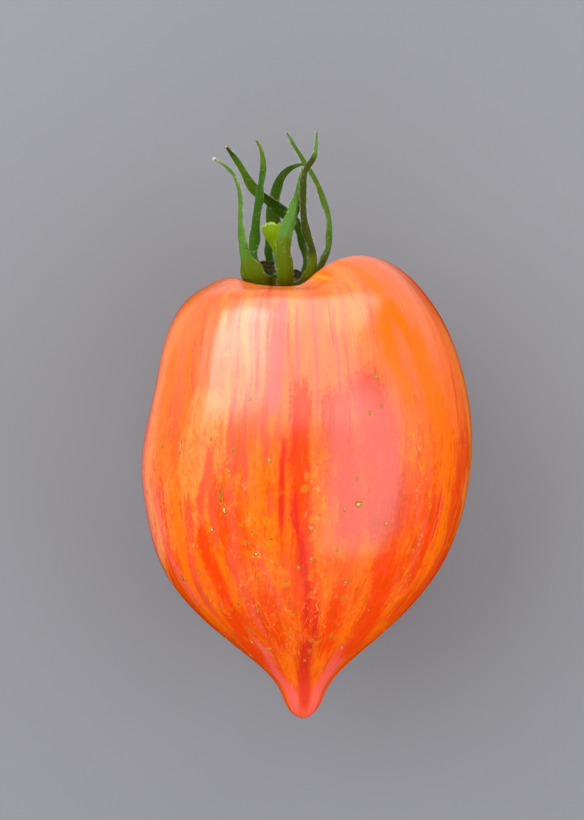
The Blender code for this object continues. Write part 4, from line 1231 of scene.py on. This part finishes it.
world = bpy.data.worlds.new("soft_room")
bpy.context.scene.world = world
world.use_nodes = True
room = world.node_tree.nodes["Background"]
room.inputs["Color"].default_value = ROOM_TINT
room.inputs["Strength"].default_value = ROOM_STRENGTH
world.cycles_visibility.glossy = False


def panel(name, place, towards, width, depth, brightness, seen_by):
    """A soft rectangular light. Its power is brightness x pi x its area."""
    data = bpy.data.lights.new(name, "AREA")
    data.shape = "RECTANGLE"
    data.size, data.size_y = width, depth
    data.energy = brightness * np.pi * width * depth
    light = bpy.data.objects.new(name, data)
    bpy.context.scene.collection.objects.link(light)
    light.location = place
    light.rotation_euler = (Vector(place) - Vector(towards)).to_track_quat("Z", "Y").to_euler()
    light.visible_camera = False
    light.visible_diffuse = seen_by == "matt"
    light.visible_glossy = seen_by == "gloss"


panel("left_window", (-0.455, 0.46, 0.347), (-0.135, 0.46, -0.033), 0.5, 0.52, 8.8, "gloss")
panel("top_window", (0.06, 0.385, 0.55), (0.06, 0.385, 0.0), 0.62, 0.5, 2.9, "gloss")
panel("right_window", (0.308, -0.14, 0.466), (0.018, -0.14, 0.066), 0.68, 0.516, 3.05, "gloss")
panel("back_window", (0.0, 0.75, 0.38), (0.0, 0.0, 0.25), 1.2, 0.5, 4.4, "gloss")
panel("low_window", (0.0, 0.76, 0.07), (0.0, 0.0, 0.07), 1.2, 0.13, 2.4, "gloss")
panel("left_card", (-0.3, 0.15, 0.001), (-0.3, 0.15, 1.0), 0.52, 0.36, 0.3, "gloss")
panel("back_card", (0.11, 0.25, 0.001), (0.11, 0.25, 1.0), 0.3, 0.4, 0.6, "gloss")
panel("left_sky", (-0.65, 0.25, 0.5), (0.0, 0.0, 0.05), 1.0, 1.0, 3.3, "matt")
panel("right_sky", (0.85, 0.0, 0.45), (0.0, 0.0, 0.05), 1.0, 1.0, 2.8, "matt")
panel("back_sky", (0.1, 0.8, 0.5), (0.0, 0.0, 0.05), 1.2, 0.8, 2.0, "matt")
panel("front_sky", (0.0, -0.8, 0.45), (0.0, 0.0, 0.05), 1.2, 0.7, 2.6, "matt")

# %% Camera
CAMERA_PLACE = (-0.0029, 0.0096)
CAMERA_HEIGHT = 0.3  # metres above the fruit's axis
SENSOR_HEIGHT = 36.0
FOCAL_LENGTH = 65.85
camera_data = bpy.data.cameras.new("camera")
camera_data.sensor_fit = "VERTICAL"
camera_data.sensor_height = SENSOR_HEIGHT
camera_data.lens = FOCAL_LENGTH
camera = bpy.data.objects.new("camera", camera_data)
bpy.context.scene.collection.objects.link(camera)
camera.location = (*CAMERA_PLACE, axis_height * MM + CAMERA_HEIGHT)
bpy.context.scene.camera = camera
bpy.context.scene.view_settings.view_transform = "Standard"
